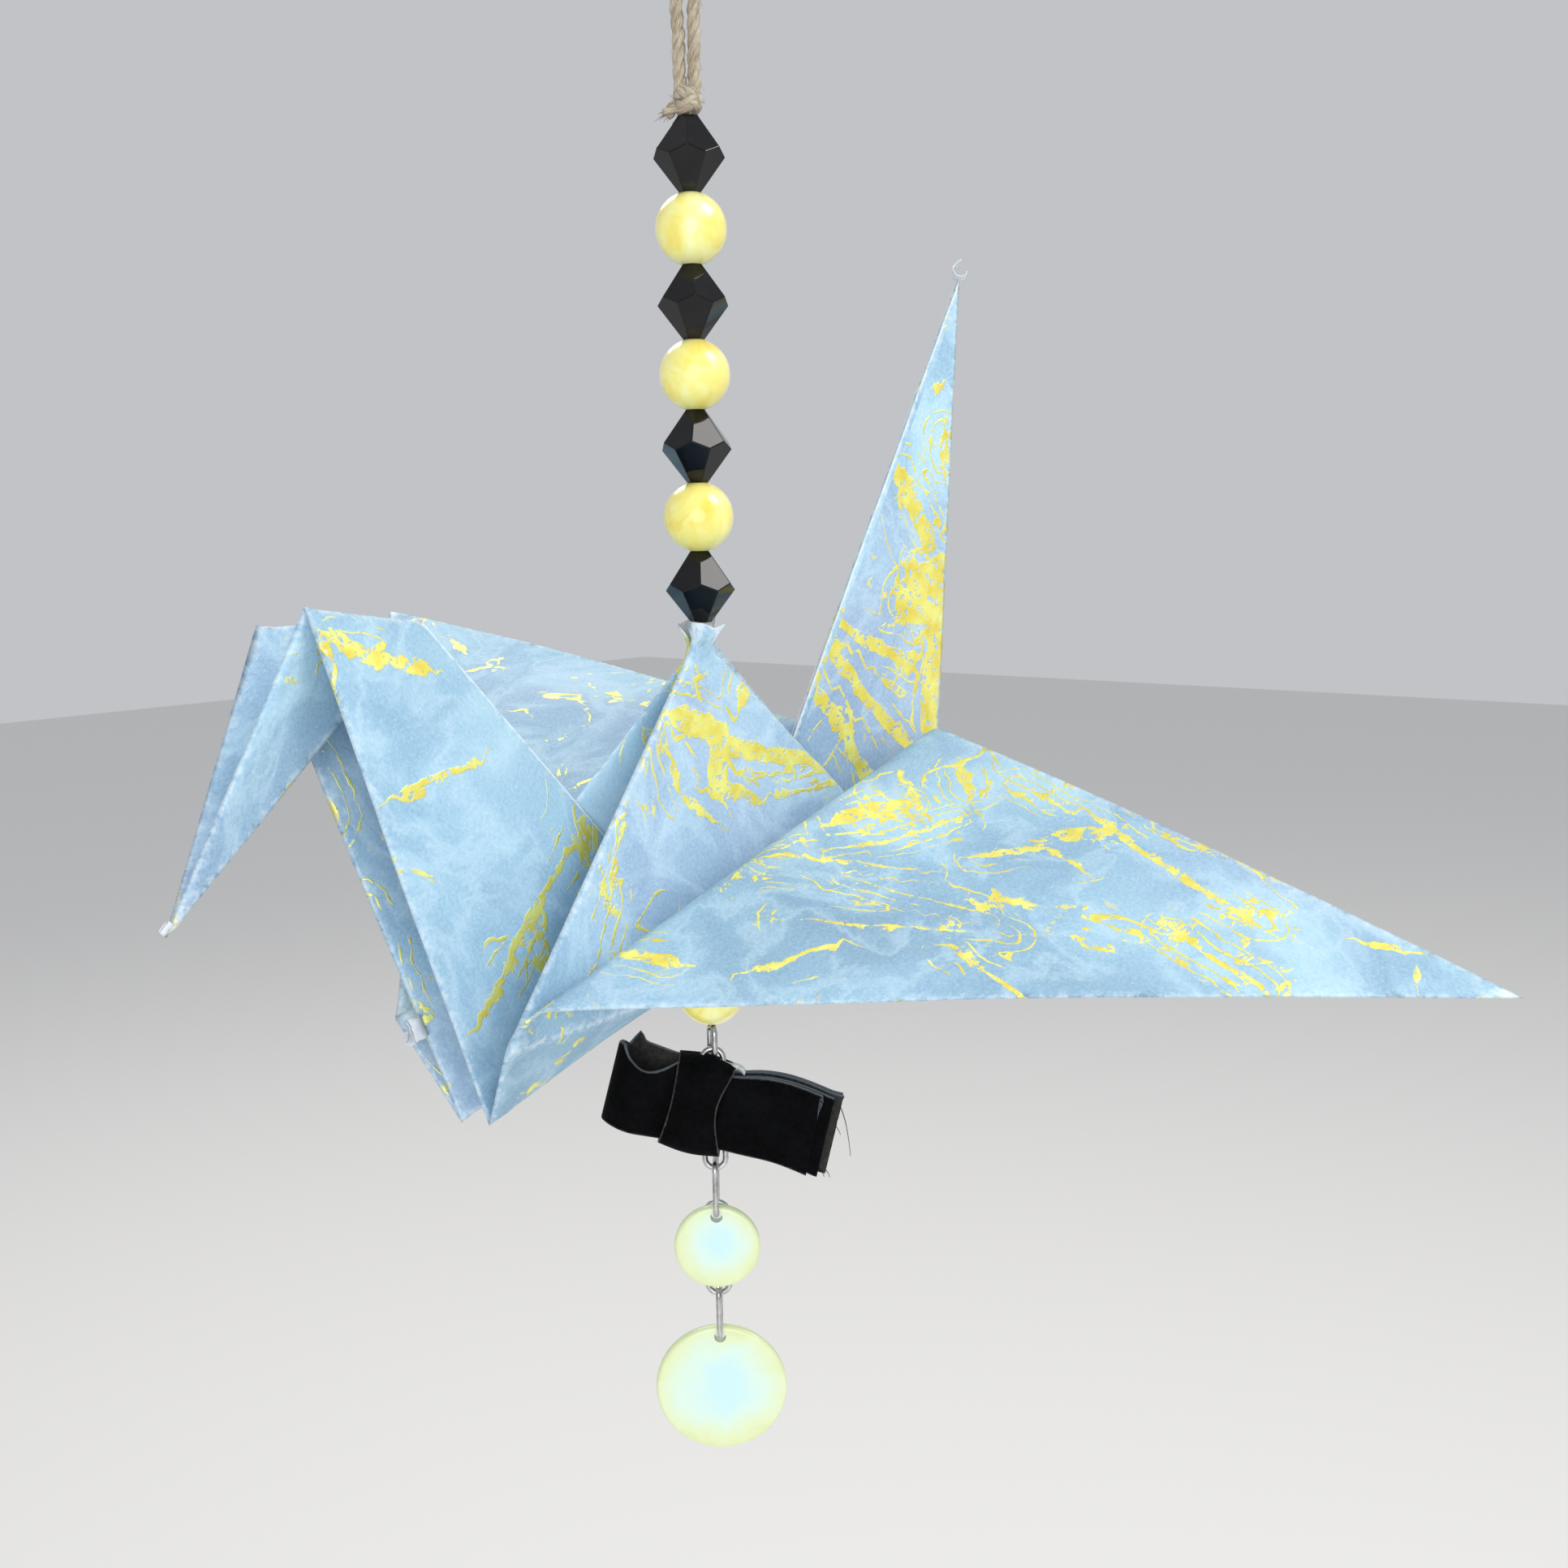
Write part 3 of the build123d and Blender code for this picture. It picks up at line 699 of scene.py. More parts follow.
# The paper: the flat sheet cut into small triangles along its folds, then folded
sheet_step = 1.2
fold_row = 0.4
grid_gap = 0.7 * sheet_step
row_gap = 0.9 * fold_row
edge_gap = 1.2 * fold_row
least_height = 0.02
ramp_reach = 0.45
fold_cosine = math.cos(math.radians(24))
flat_fold_cosine = math.cos(math.radians(165))
# How the folds are rounded: all of them, the hump's edges, and the slight bends
fold_reach = 0.7
fold_weight = 0.4
fold_passes = 2
round_weight = 0.5
round_passes = 10
soft_reach = 4.5
soft_weight = 0.5
soft_passes = 40
# Folds that are rounded more than the rest: (end, end, reach)
round_folds = [
    (sheet_centre, vec(-half_hinge, -half_hinge), 1.5),
    (sheet_centre, vec(-half_hinge, half_hinge), 2.6),
    (sheet_centre, vec(half_hinge, -half_hinge), 1.0),
    (sheet_centre, vec(half_hinge, half_hinge), 1.0),
]
# Slow waves and small dents of handled paper: (length, height, shift of their noise)
waves = [(26.0, 0.18, 0), (7.0, 0.05, 40)]
# The hole where the wire comes out at the top, with its torn rim, and how far from it the paper bulges
torn_hole = 1.2
torn_reach = 2.2
rim_rise = (1.7, 1.3)
rim_out = (1.9, 1.1)
bulge_reach = 12
lower_hole_from = 20


def folding(flats, foldeds):
    """The map from flat directions to those on a folded face."""
    a, b, c = flats[:3]
    frame_2d = np.array([b - a, c - a]).T
    frame_3d = np.array([foldeds[1] - foldeds[0], foldeds[2] - foldeds[0]]).T
    return frame_3d @ np.linalg.inv(frame_2d)


def face_normal(foldeds):
    return unit(np.cross(foldeds[1] - foldeds[0], foldeds[2] - foldeds[0]))


def inside(points, polygon):
    """How far inside a polygon each flat point lies, less than 0 outside."""
    ends = list(zip(polygon, polygon[1:] + polygon[:1]))
    sign = 1 if sum(a[0] * b[1] - b[0] * a[1] for a, b in ends) > 0 else -1
    least = np.full(len(points), 1e9)
    for a, b in ends:
        edge = unit(b - a)
        least = np.minimum(least, sign * (edge[0] * (points[:, 1] - a[1]) - edge[1] * (points[:, 0] - a[0])))
    return least


def segment_distance(points, a, b):
    way = b - a
    along = np.clip(((points - a) @ way) / way.dot(way), 0, 1)
    return lengths_of(points - (a + along[:, None] * way))


def nearest_line(points, lines):
    return np.min([segment_distance(points, a, b) for a, b in lines], axis=0)


def flat_mesh():
    """The flat sheet in small triangles along its folds: points, triangles, folds and flat folds."""
    corners, index, beside = [], {}, {}

    def corner_number(p):
        key = (round(p[0], 2), round(p[1], 2))
        if key not in index:
            index[key] = len(corners)
            corners.append(p)
        return index[key]

    for flats, foldeds, _, _ in faces:
        numbers = [corner_number(p) for p in flats]
        turn = 1 if np.cross(flats[1] - flats[0], flats[2] - flats[0]) > 0 else -1
        for edge in zip(numbers, numbers[1:] + numbers[:1]):
            beside.setdefault(tuple(sorted(edge)), []).append(face_normal(foldeds) * turn)
    edges = sorted(beside)
    raw = [edge for edge in edges if len(beside[edge]) == 1]
    cosines = {edge: beside[edge][0].dot(beside[edge][1]) for edge in edges if len(beside[edge]) == 2}
    flat_folds = [edge for edge in cosines if cosines[edge] < flat_fold_cosine]
    folds = [edge for edge in cosines if flat_fold_cosine <= cosines[edge] < fold_cosine]
    points = list(corners)
    lines = []
    for i, j in edges:
        count = max(1, round(np.linalg.norm(corners[i] - corners[j]) / sheet_step))
        chain = [i, *range(len(points), len(points) + count - 1), j]
        points += [flat(corners[i], corners[j], k / count) for k in range(1, count)]
        lines += zip(chain[:-1], chain[1:])
    # A row of points close beside each sharp fold and inside the raw edges keeps their shading narrow
    rows = []
    for i, j in folds + flat_folds + raw:
        way = unit(corners[j] - corners[i])
        off = vec(-way[1], way[0]) * fold_row
        length = np.linalg.norm(corners[j] - corners[i])
        for k in range(1, max(2, round(length / sheet_step))):
            place = corners[i] + way * (k * sheet_step)
            if k * sheet_step < length - 0.5 * sheet_step:
                rows += [place + off, place - off]
    rows = np.array(rows)
    grid = []
    for k, y in enumerate(np.arange(-corner_reach, corner_reach, sheet_step * math.sqrt(3) / 2)):
        xs = np.arange(-corner_reach + (k % 2) * sheet_step / 2, corner_reach, sheet_step)
        grid.append(np.stack([xs, np.full(len(xs), y)], axis=1))
    grid = np.concatenate(grid)
    for i, j in edges:
        grid = grid[segment_distance(grid, corners[i], corners[j]) > grid_gap]
        rows = rows[segment_distance(rows, corners[i], corners[j]) > row_gap]
    extra = np.concatenate([grid, rows])
    extra = extra[np.abs(extra).sum(axis=1) < corner_reach - edge_gap]
    made = geometry.delaunay_2d_cdt([Vector(p) for p in [*points, *extra]], lines, [], 0, 1e-4)
    flat_points = np.array([tuple(p) for p in made[0]])
    triangles = np.array(made[2])
    # Slivers along the sheet's outline are left out
    a, b, c = (flat_points[triangles[:, k]] for k in range(3))
    area = np.abs((b - a)[:, 0] * (c - a)[:, 1] - (b - a)[:, 1] * (c - a)[:, 0])
    longest = np.max([lengths_of(b - a), lengths_of(c - b), lengths_of(a - c)], axis=0)
    triangles = triangles[area / longest > least_height]
    lines = [[(corners[i], corners[j]) for i, j in pairs] for pairs in (folds, flat_folds)]
    return flat_points, triangles, *lines


def leaned_to_seams(placed, here, flats, line):
    """The hump stands open, so the leg's outer ply leans out to meet the wing's under ply at their seam."""
    for a, b, drop in seams:
        if max(np.linalg.norm(flats[0] - a), np.linalg.norm(a - line[0])) > same_place:
            continue
        off = segment_distance(here, a, b) + 1e-6
        along = np.clip((here - a) @ (b - a) / (b - a).dot(b - a), 0, 1)
        edge = segment_distance(here, *line)
        crease = segment_distance(here, flats[1], flats[2])
        share = edge / (edge + off) * crease / (crease + off)
        placed = placed - drop * (along * share)[:, None]
    return placed


def fold_mesh(flat_points, triangles):
    """Where each flat point lies once folded, from the faces round it."""
    centres = flat_points[triangles].mean(axis=1)
    owner = np.argmax([inside(centres, flats) for flats, _, _, _ in faces], axis=0)
    folded = np.zeros((len(flat_points), 3))
    counted = np.zeros(len(flat_points))
    for n, (flats, foldeds, line, way) in enumerate(faces):
        mine = np.unique(triangles[owner == n])
        if len(mine) == 0:
            continue
        here = flat_points[mine]
        placed = foldeds[0] + (here - flats[0]) @ folding(flats, foldeds).T
        if line is not None:
            normal = face_normal(foldeds)
            if normal.dot(way) <= 0:
                normal = -normal
            rise = ply * np.clip(segment_distance(here, *line) / ramp_reach, 0, 1)
            placed = placed + normal * rise[:, None]
            # Only the legs' second plies lie level; the wings' lie below
            if way[2] == 0:
                placed = leaned_to_seams(placed, here, flats, line)
        folded[mine] += placed
        counted[mine] += 1
    return folded / counted[:, None]


def rounded(folded, triangles, weight, passes):
    """Moves each vertex toward the middle of its neighbours, by its weight, to round the folds."""
    sides = np.concatenate([triangles[:, pair] for pair in ([0, 1], [1, 2], [2, 0])])
    edges = np.unique(np.sort(sides, axis=1), axis=0)
    moving = weight > 0.01
    edges = edges[moving[edges].any(axis=1)]
    count = np.bincount(edges.ravel(), minlength=len(folded))[:, None]
    for _ in range(passes):
        total = np.zeros_like(folded)
        for i, j in ((0, 1), (1, 0)):
            for axis in range(3):
                total[:, axis] += np.bincount(edges[:, i], folded[edges[:, j], axis], len(folded))
        middle = total / np.maximum(count, 1)
        folded = np.where(moving[:, None], folded + (middle - folded) * weight[:, None], folded)
    return folded


def handled(folded):
    moves = np.zeros_like(folded)
    for n, p in enumerate(folded):
        for length, height, shift in waves:
            moves[n] += height * np.array(noise.noise_vector(Vector(p) / length + Vector((shift, 0, 0))))
    return folded + moves


def opened(folded, flat_points, triangles, apex_off):
    """The paper round the wire and the lower bead, and the triangles that its holes leave."""
    radius = np.hypot(folded[:, 0], folded[:, 1])
    for n in np.nonzero((radius < wire_room) & (apex_off < bulge_reach))[0]:
        side = -1 if flat_points[n][1] < 0 else 1
        folded[n][1] = side * math.sqrt(wire_room**2 - folded[n][0] ** 2)
    bead_centre = apex + vec(0, 0, -lower_bead_top - round_bead_height / 2)
    in_bead = lengths_of(folded - bead_centre) < round_bead_diameter / 2 + bead_room
    cut = (apex_off < torn_hole) | in_bead | ((radius < thread_hole / 2) & (apex_off > lower_hole_from))
    # The torn rim round the upper hole stands up and turns out
    flare = np.clip(1 - (apex_off - torn_hole) / torn_reach, 0, 1)
    for n in np.nonzero(flare > 0)[0]:
        jag = noise.noise(Vector((*flat_points[n], 0)) * 1.1)
        outward = unit(vec(folded[n][0], folded[n][1], 0) + 1e-6)
        rise, out = (even + ragged * jag for even, ragged in (rim_rise, rim_out))
        folded[n] = folded[n] + outward * (out * flare[n] ** 2.4) + up * (rise * flare[n] ** 1.2)
    return folded, triangles[~cut[triangles].any(axis=1)]


def stroke_fields(points):
    """How each flat point lies to the nearest stroke's line, its width, and how far inside one it is."""
    nearest = np.full(len(points), 99.0)
    signed = np.full(len(points), 99.0)
    width = np.zeros(len(points))
    within = np.full(len(points), -9.0)
    for half_width, line in gold_strokes:
        line = [vec(*p) for p in line]
        for a, b in zip(line[:-1], line[1:]):
            distance = segment_distance(points, a, b)
            way = unit(b - a)
            side = np.sign(way[0] * (points[:, 1] - a[1]) - way[1] * (points[:, 0] - a[0]))
            closer = distance < nearest
            nearest[closer] = distance[closer]
            signed[closer] = (distance * side)[closer]
            width[closer] = half_width
            within = np.maximum(within, half_width - distance)
    return {"stroke": signed, "stroke_near": nearest, "stroke_width": width, "pool": within}


def paper_crane():
    flat_points, triangles, folds, flat_folds = flat_mesh()
    folded = fold_mesh(flat_points, triangles)
    edge_off = (corner_reach - np.abs(flat_points).sum(axis=1)) / math.sqrt(2)
    fold_off = nearest_line(flat_points, folds)
    flat_fold_off = nearest_line(flat_points, flat_folds)
    tip_off = np.min([lengths_of(flat_points - t) for t in (head_corner, tail_corner, *wing_corners)], axis=0)
    apex_off = lengths_of(flat_points)
    # Round the folds: all of them a little, and the hump's longer edges more
    free = (flat_fold_off > 0.1) & (edge_off > 0.1) & (tip_off > 1.0)
    folded = rounded(folded, triangles, fold_weight * bell(fold_off, fold_reach) * free, fold_passes)
    longer = [bell(segment_distance(flat_points, a, b), reach, 4) for a, b, reach in round_folds]
    folded = rounded(folded, triangles, round_weight * np.max(longer, axis=0) * free, round_passes)
    soft = soft_weight * bell(nearest_line(flat_points, slight_bends), soft_reach)
    folded = rounded(folded, triangles, soft * np.clip((fold_off - 0.5) / 2, 0, 1) * free, soft_passes)
    folded, triangles = opened(handled(folded), flat_points, triangles, apex_off)
    # White fibre shows at the folds, the raw edges, the tips and the torn rim, and along the folds the white
    # is also a painted highlight of their rounded edges: (most, distance, reach)
    white = [(0.75, fold_off, 0.6), (1.0, edge_off, 0.55), (0.8, flat_fold_off, 0.5)]
    white += [(1.3, tip_off, 3.6), (1.2, apex_off, 3.0)]
    wear_and_highlight = np.max([most * bell(off, reach) for most, off, reach in white], axis=0)
    used = np.unique(triangles)
    number = np.full(len(folded), -1)
    number[used] = np.arange(len(used))
    flat_points, folded, wear_and_highlight = flat_points[used], folded[used], wear_and_highlight[used]
    made = make_object("marbled_crane", folded * MM, number[triangles])
    mesh = made.data
    layer = mesh.uv_layers.new(name="sheet")
    loop_vertices = np.zeros(len(mesh.loops), dtype=np.int32)
    mesh.loops.foreach_get("vertex_index", loop_vertices)
    layer.data.foreach_set("uv", (flat_points[loop_vertices] / paper_side).astype(np.float32).ravel())
    for name, values in {"wear_and_highlight": wear_and_highlight, **stroke_fields(flat_points)}.items():
        add_values(mesh, name, values)
    mesh.materials.append(paper_material())
    mesh.materials.append(plain_back())
    solid = thicken(made, paper_thickness)
    solid.offset = 0
    solid.material_offset = 1
    solid.material_offset_rim = 1
    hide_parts("paper_crane")
    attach(made, "crane_string")
    torn_scraps()


# Torn white scraps of the sheet, each a ragged curl
scrap_thickness = 0.12
scrap_turn = 4.6
scrap_steps = 22
scrap_rows = 8


def torn_curl(name, place, radius, width, axis, first):
    """A curl round an axis that starts the first way and grows tighter and narrower."""
    axis = unit(axis)
    first = unit(first - axis * axis.dot(first))
    second = np.cross(axis, first)
    curl = Mesh()
    for n in range(scrap_steps + 1):
        share = n / scrap_steps
        turn = scrap_turn * share
        out = first * math.cos(turn) + second * math.sin(turn)
        for r in range(scrap_rows + 1):
            ragged = 0.3 * radius * noise.noise(Vector((n * 0.4, r * 0.9, radius * 7)))
            off = (r / scrap_rows - 0.5) * width * (1 - 0.35 * share + 0.5 * ragged)
            curl.vertices.append(place + out * (radius * (1 - 0.45 * share) + 0.5 * ragged) + axis * off)
    curl.quads(scrap_steps + 1, scrap_rows + 1)
    made = curl.finish(name)
    thicken(made, scrap_thickness)
    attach(made, "crane_string")
    return made


def torn_scraps():
    back = plain_back()
    far_edge = keels[1] + (brows[1] - keels[1]) * 0.2
    # Name, place, radius, width, axis and the way it starts
    made = [
        torn_curl("tail_scrap", tail_tip + up * 0.4 + across * 0.2, 1.3, 2.4, facing + up * 0.3, up),
        torn_curl("beak_scrap", beak + up * 0.9, 0.55, 1.5, unit(head_top - beak), facing),
        torn_curl("neck_scrap", far_edge + vec(-0.8, 0, 0), 1.2, 2.6, unit(brows[1] - keels[1]), facing),
        torn_curl("neck_scrap_2", far_edge + vec(-1.6, 0, -0.8), 0.7, 1.6, vec(0.5, 0.5, 0.6), across),
    ]
    for piece in made:
        piece.data.materials.append(back)
    return made


# Beads, wire and discs. All but the black beads keep their CAD shapes and only get a material
def glass_material():
    material, place = object_material("black_crystal")
    colour = ramp(noise_at(place, 400.0, 2.0), (0.3, (0.0015, 0.0015, 0.002)), (0.75, (0.005, 0.005, 0.006)))
    scratches = noise_at(place, 900.0)
    inputs = {"Roughness": 0.06, "Specular IOR Level": 0.32}
    return finished(material, colour, (scratches, 0.04, 0.04), inputs)


def pearl_material(name, low, middle, high, roughness):
    material, place = object_material(name)
    cloud = noise_at(warped(place, 150.0, 0.004), 190.0, 4.0, 0.6, 0.8)
    inputs = {
        "Roughness": roughness,
        "Subsurface Weight": 0.25,
        "Subsurface Radius": (0.002, 0.0016, 0.0008),
        "Coat Weight": 0.6,
        "Coat Roughness": 0.12,
        "Sheen Weight": 0.15,
    }
    grain = noise_at(place, 1500.0, 3.0, 0.6)
    colour = ramp(cloud, (0.32, low), (0.5, middle), (0.68, high))
    return finished(material, colour, (grain, 0.05, 0.05), inputs)


def disc_material(node):
    """Cream pearl with a painted bluish-white sheen toward the middle of the disc."""
    material, place = object_material(f"{node.name}_pearl")
    corners = [Vector(c) for c in node.bound_box]
    middle = sum(corners, Vector()) / 8
    radius = (max(c.z for c in corners) - min(c.z for c in corners)) / 2
    cloud = noise_at(warped(place, 120.0, 0.005), 170.0, 4.0, 0.6, 0.6)
    # The bluish white toward the disc's middle is a painted sheen that fades out; the cream toward the rim is
    # the shell's own colour
    share = vectors("DISTANCE", place, tuple(middle), output="Value") / radius + (cloud - 0.5) * 0.9
    sheen_centre, sheen_fade = (0.25, (0.60, 0.85, 0.84)), (0.55, (0.70, 0.87, 0.74))
    cream, rim = (0.85, (0.76, 0.84, 0.50)), (1.0, (0.72, 0.79, 0.42))
    grain = noise_at(place, 1400.0, 3.0, 0.6)
    inputs = {"Roughness": 0.28, "Coat Weight": 0.5, "Coat Roughness": 0.15}
    return finished(material, ramp(share, sheen_centre, sheen_fade, cream, rim), (grain, 0.06, 0.05), inputs)


def wire_material():
    material, place = object_material("silver_wire")
    tarnish = noise_at(place, 500.0, 4.0, 0.65)
    colour = ramp(tarnish, (0.3, (0.30, 0.29, 0.27)), (0.6, (0.62, 0.62, 0.63)))
    return finished(material, colour, (tarnish, 0.1, 0.08), {"Metallic": 1.0, "Roughness": 0.28})


def dress(names, material):
    for name in names:
        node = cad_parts[name]
        node.data.materials.clear()
        node.data.materials.append(material)


# Twine. Its route is in the plane that faces the camera: (across, up)
twine_diameter = 1.5
ply_radius = 0.4
ply_pitch = 5.2
ply_step = 0.3
hair_step = 0.3
twine_route = [
    (-0.8, -25.75), (-0.8, -10.5), (-3.2, -4.5), (-1.6, 0.75),
    (1.6, 0.75), (3.2, -4.5), (0.8, -10.5), (0.8, -25.75),
]
twine_length = 56.3
knot_width = 3.4
knot_middle = -26.5
# Rings of the knot: height over its middle, tilt, turn and size
knot_rings = [
    dict(lift=0.15, tilt=62, turn=20, size=1.0),
    dict(lift=-0.2, tilt=-58, turn=-35, size=1.0),
    dict(lift=-0.55, tilt=12, turn=80, size=0.92),
    dict(lift=0.55, tilt=-20, turn=140, size=0.9),
]
fray_start = (-1.2, -26.9)
fray_end = (-2.3, -27.75)
# How far the loose hairs reach, and the radii of each at its root and tip
hair_reach = (0.6, 1.7)
hair_radii = (0.035, 0.012)
knot_hair_radii = (0.04, 0.012)
fray_radii = (0.06, 0.02)
fuzz_count = 170
fray_count = 26
knot_fuzz_count = 46


def twine_material():
    material, tree = new_material("jute_twine")
    fibre = add(tree, "Attribute", {}, "Vector", attribute_name="fibre")
    threads = noise_at(vectors("MULTIPLY", fibre, (2.2, 2.2, 0.35)), 2.6, 5.0, 0.7)
    tone = threads * 0.75 + noise_at(fibre, 0.5) * 0.25
    dark, brown = (0.34, (0.16, 0.11, 0.06)), (0.47, (0.48, 0.39, 0.26))
    tan, pale = (0.56, (0.66, 0.58, 0.43)), (0.68, (0.84, 0.78, 0.66))
    colour = ramp(tone, dark, brown, tan, pale)
    return finished(material, colour, (threads, 0.8, 0.25), {"Roughness": 0.8, "Sheen Weight": 0.2})


def add_plies(mesh, points, hint, turns):
    """Three plies twisted round a line, with a given number of turns from end to end."""
    places, along = even_line(points, ply_step)
    first, second = frames_along(places, hint)
    lay = twine_diameter / 2 - ply_radius
    for k in range(3):
        turn = 2 * math.pi * (turns * along / along[-1] + k / 3)
        swell = 1 + 0.10 * np.sin(along * 2.3 + 2 * k) + 0.06 * np.sin(along * 5.1 + k)
        centre = places + (first * np.cos(turn)[:, None] + second * np.sin(turn)[:, None]) * lay
        mesh.tube(centre, ply_radius * swell, 8, hint, along, phase=3.1 * k)
    return places


def twine_point(p):
    return across * p[0] + up * p[1]


def twine(material):
    line = smooth_line([twine_point(p) for p in twine_route])
    strands = Mesh()
    places = add_plies(strands, line, facing, round(twine_length / ply_pitch))
    made = strands.finish("jute_twine")
    # Loose fibres
    random = np.random.default_rng(7)
    fuzz = Mesh()
    for _ in range(fuzz_count):
        n = random.integers(2, len(places) - 2)
        out = unit(facing * random.normal() + across * random.normal() + up * random.normal(0, 0.4))
        trail = unit(places[n + 1] - places[n]) * random.choice((-1, 1))
        start = places[n] + out * 0.5
        reach = random.uniform(*hair_reach)
        bow = [start, start + (out * 0.35 + trail * 0.6) * reach * 0.5, start + (out * 0.5 + trail) * reach]
        fuzz.hair(bow, 5, hair_radii, 3, unit(np.cross(out, trail) + out * 0.1))
    hairs = fuzz.finish("twine_hairs")
    for piece in (made, hairs):
        piece.data.materials.append(material)
        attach(piece, "crane_string")
    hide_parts("hanging_twine")


def knot(material):
    rings = Mesh()
    reach = (knot_width - twine_diameter) / 2
    for ring in knot_rings:
        turn = Matrix.Rotation(math.radians(ring["turn"]), 3, "Z")
        tilted = turn @ Matrix.Rotation(math.radians(ring["tilt"]), 3, "Y")
        circle = [Vector((math.cos(a), math.sin(a), 0)) for a in np.linspace(0, 2 * math.pi, 25)]
        points = np.array([tilted @ (p * reach * ring["size"]) for p in circle])
        add_plies(rings, points + up * (knot_middle + ring["lift"]), np.array(tilted @ Vector((0, 0, 1))), 2)
    # The cut end, which frays
    random = np.random.default_rng(11)
    start, end = twine_point(fray_start), twine_point(fray_end)
    way = unit(end - start)
    stub = smooth_line([start, (start + end) / 2 + facing * 0.4, end], 8)
    add_plies(rings, stub, facing, 0.5)
    for _ in range(fray_count):
        off = across * random.normal(0, 0.25) + facing * random.normal(0, 0.3) + up * random.normal(0, 0.2)
        tip = end + way * random.uniform(0.2, 0.9) + off * 1.8
        rings.hair([end + off - way * 0.4, end + off * 0.8, tip], 4, fray_radii, 4, facing)
    for _ in range(knot_fuzz_count):
        out = unit(random.normal(size=3) * (1, 1, 0.8))
        start = up * knot_middle + out * 1.3
        side = unit(np.cross(out, random.normal(size=3)))
        bow = [start, start + out * 0.3 + side * 0.4, start + out * random.uniform(0.3, 0.7) + side]
        rings.hair(bow, 5, knot_hair_radii, 3, out)
    made = rings.finish("jute_knot")
    made.data.materials.append(material)
    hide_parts("twine_knot")
    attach(made, "crane_string")


# Velvet ribbon
ribbon_width = 10.0
cloth_thickness = 0.55
ribbon_tilt = math.radians(15.0)
ribbon_offset = -1.8
ribbon_height = -141.3
ribbon_gap = 0.82
ribbon_layer = 0.95
ribbon_step = 0.45
ribbon_rows = 22
ribbon_along = across * math.cos(ribbon_tilt) - up * math.sin(ribbon_tilt)
ribbon_up = across * math.sin(ribbon_tilt) + up * math.cos(ribbon_tilt)
ribbon_centre = across * ribbon_offset + up * ribbon_height
band_half = 3.4
band_half_depth = 1.58
band_half_height = 5.62
band_corner = 1.1
band_step = 0.5
end_fray = 0.15
ruffle_depth = 0.10
ruffle_scale = 0.35
ribbon_sheen_reach = 0.35
band_columns = 16
satin_steps = 9
satin_half_width = 0.42
satin_thickness = 0.2
satin_start = 1.2
satin_length = 3.2
satin_top = 5.95
satin_fall = 0.55
satin_wave = 0.25
satin_cup = 0.25
satin_front = 0.3
satin_forward = 0.9
# Threads that hang from the cut ends: (along, away, up, drop)
thread_ends = [
    (17.1, 0.8, 3.6, 6.2), (16.6, 1.7, 1.0, 1.4), (15.9, -0.9, -3.9, 1.2),
    (14.4, -1.8, 4.4, 1.0), (17.1, 0.8, -4.6, 1.1),
]


def ribbon_point(along, away, height):
    """A place in the ribbon's own frame: along it, away from the camera and up across its width."""
    return ribbon_centre + ribbon_along * along - facing * away + ribbon_up * height


def velvet_materials():
    """The pile side, the satin side and the cut edge."""
    made = []
    # Brownish painted sheen of the backlit pile along the ribbon's edges
    edge_sheen_tint = (0.10, 0.085, 0.08)
    looks = [
        ("black_velvet", (0.001, 0.001, 0.001), (0.004, 0.004, 0.005), 0.95, 0.02, edge_sheen_tint),
        ("black_satin", (0.014, 0.014, 0.013), (0.05, 0.048, 0.044), 0.42, 0.0, edge_sheen_tint),
        ("ribbon_edge", (0.02, 0.022, 0.026), (0.15, 0.17, 0.20), 0.7, 0.0, (0.15, 0.17, 0.20)),
    ]
    for name, dark, light, roughness, sheen, edge_sheen in looks:
        material, place = object_material(name)
        nap = noise_at(place, 1500.0, 3.0, 0.7)
        colour = ramp(nap * 0.5 + noise_at(place, 260.0) * 0.5, (0.38, dark), (0.66, light))
        # Along the ribbon's edges the colour turns to the painted sheen
        rim = add(material.node_tree, "Attribute", {}, "Fac", attribute_name="edge_sheen")
        colour = blend(colour, edge_sheen, step_up(rim + nap * 0.5, 0.95, 1.2) * 0.75)
        inputs = {"Roughness": roughness, "Specular IOR Level": 0.06, "Sheen Weight": sheen}
        made.append(finished(material, colour, (nap, 0.5, 0.2), inputs))
    return made


def strip(mesh, route, height, ends):
    """A strip of ribbon along a route (along, away). The height gives its bottom and top at a place."""
    points, lengths = even_line(smooth_line([(a, y, 0) for a, y in route]), ribbon_step)
    for n, p in enumerate(points):
        low, high = height(p)
        for r in range(ribbon_rows + 1):
            share = r / ribbon_rows
            h = low + (high - low) * share
            # The cut ends slant and fray a little
            slant = 0.0
            if n == 0:
                slant = ends[0] + end_fray * noise.noise(Vector((r * 1.7, 3.0, 0)))
            if n == len(points) - 1:
                slant = ends[1] + end_fray * noise.noise(Vector((r * 1.7, 9.0, 0)))
            wave = noise.noise(Vector((p[0], p[1], h)) * ruffle_scale)
            ruffle = ruffle_depth * wave * math.sin(math.pi * share)
            mesh.vertices.append(ribbon_point(p[0] + slant * share, p[1] + ruffle, h))
            # How close to the strip's edges the painted sheen lies
            mesh.edge_sheen.append(bell(min(share, 1 - share) * abs(high - low), ribbon_sheen_reach))
    mesh.quads(len(points), ribbon_rows + 1)
    return lengths[-1]


# The band's left edge bows out, and its right one slants, flares and waves
band_left_wave = 0.25
band_left_out = 0.15
band_right_in = 0.9
band_right_wave = 0.3
band_slant = 0.35
band_flare = 0.75
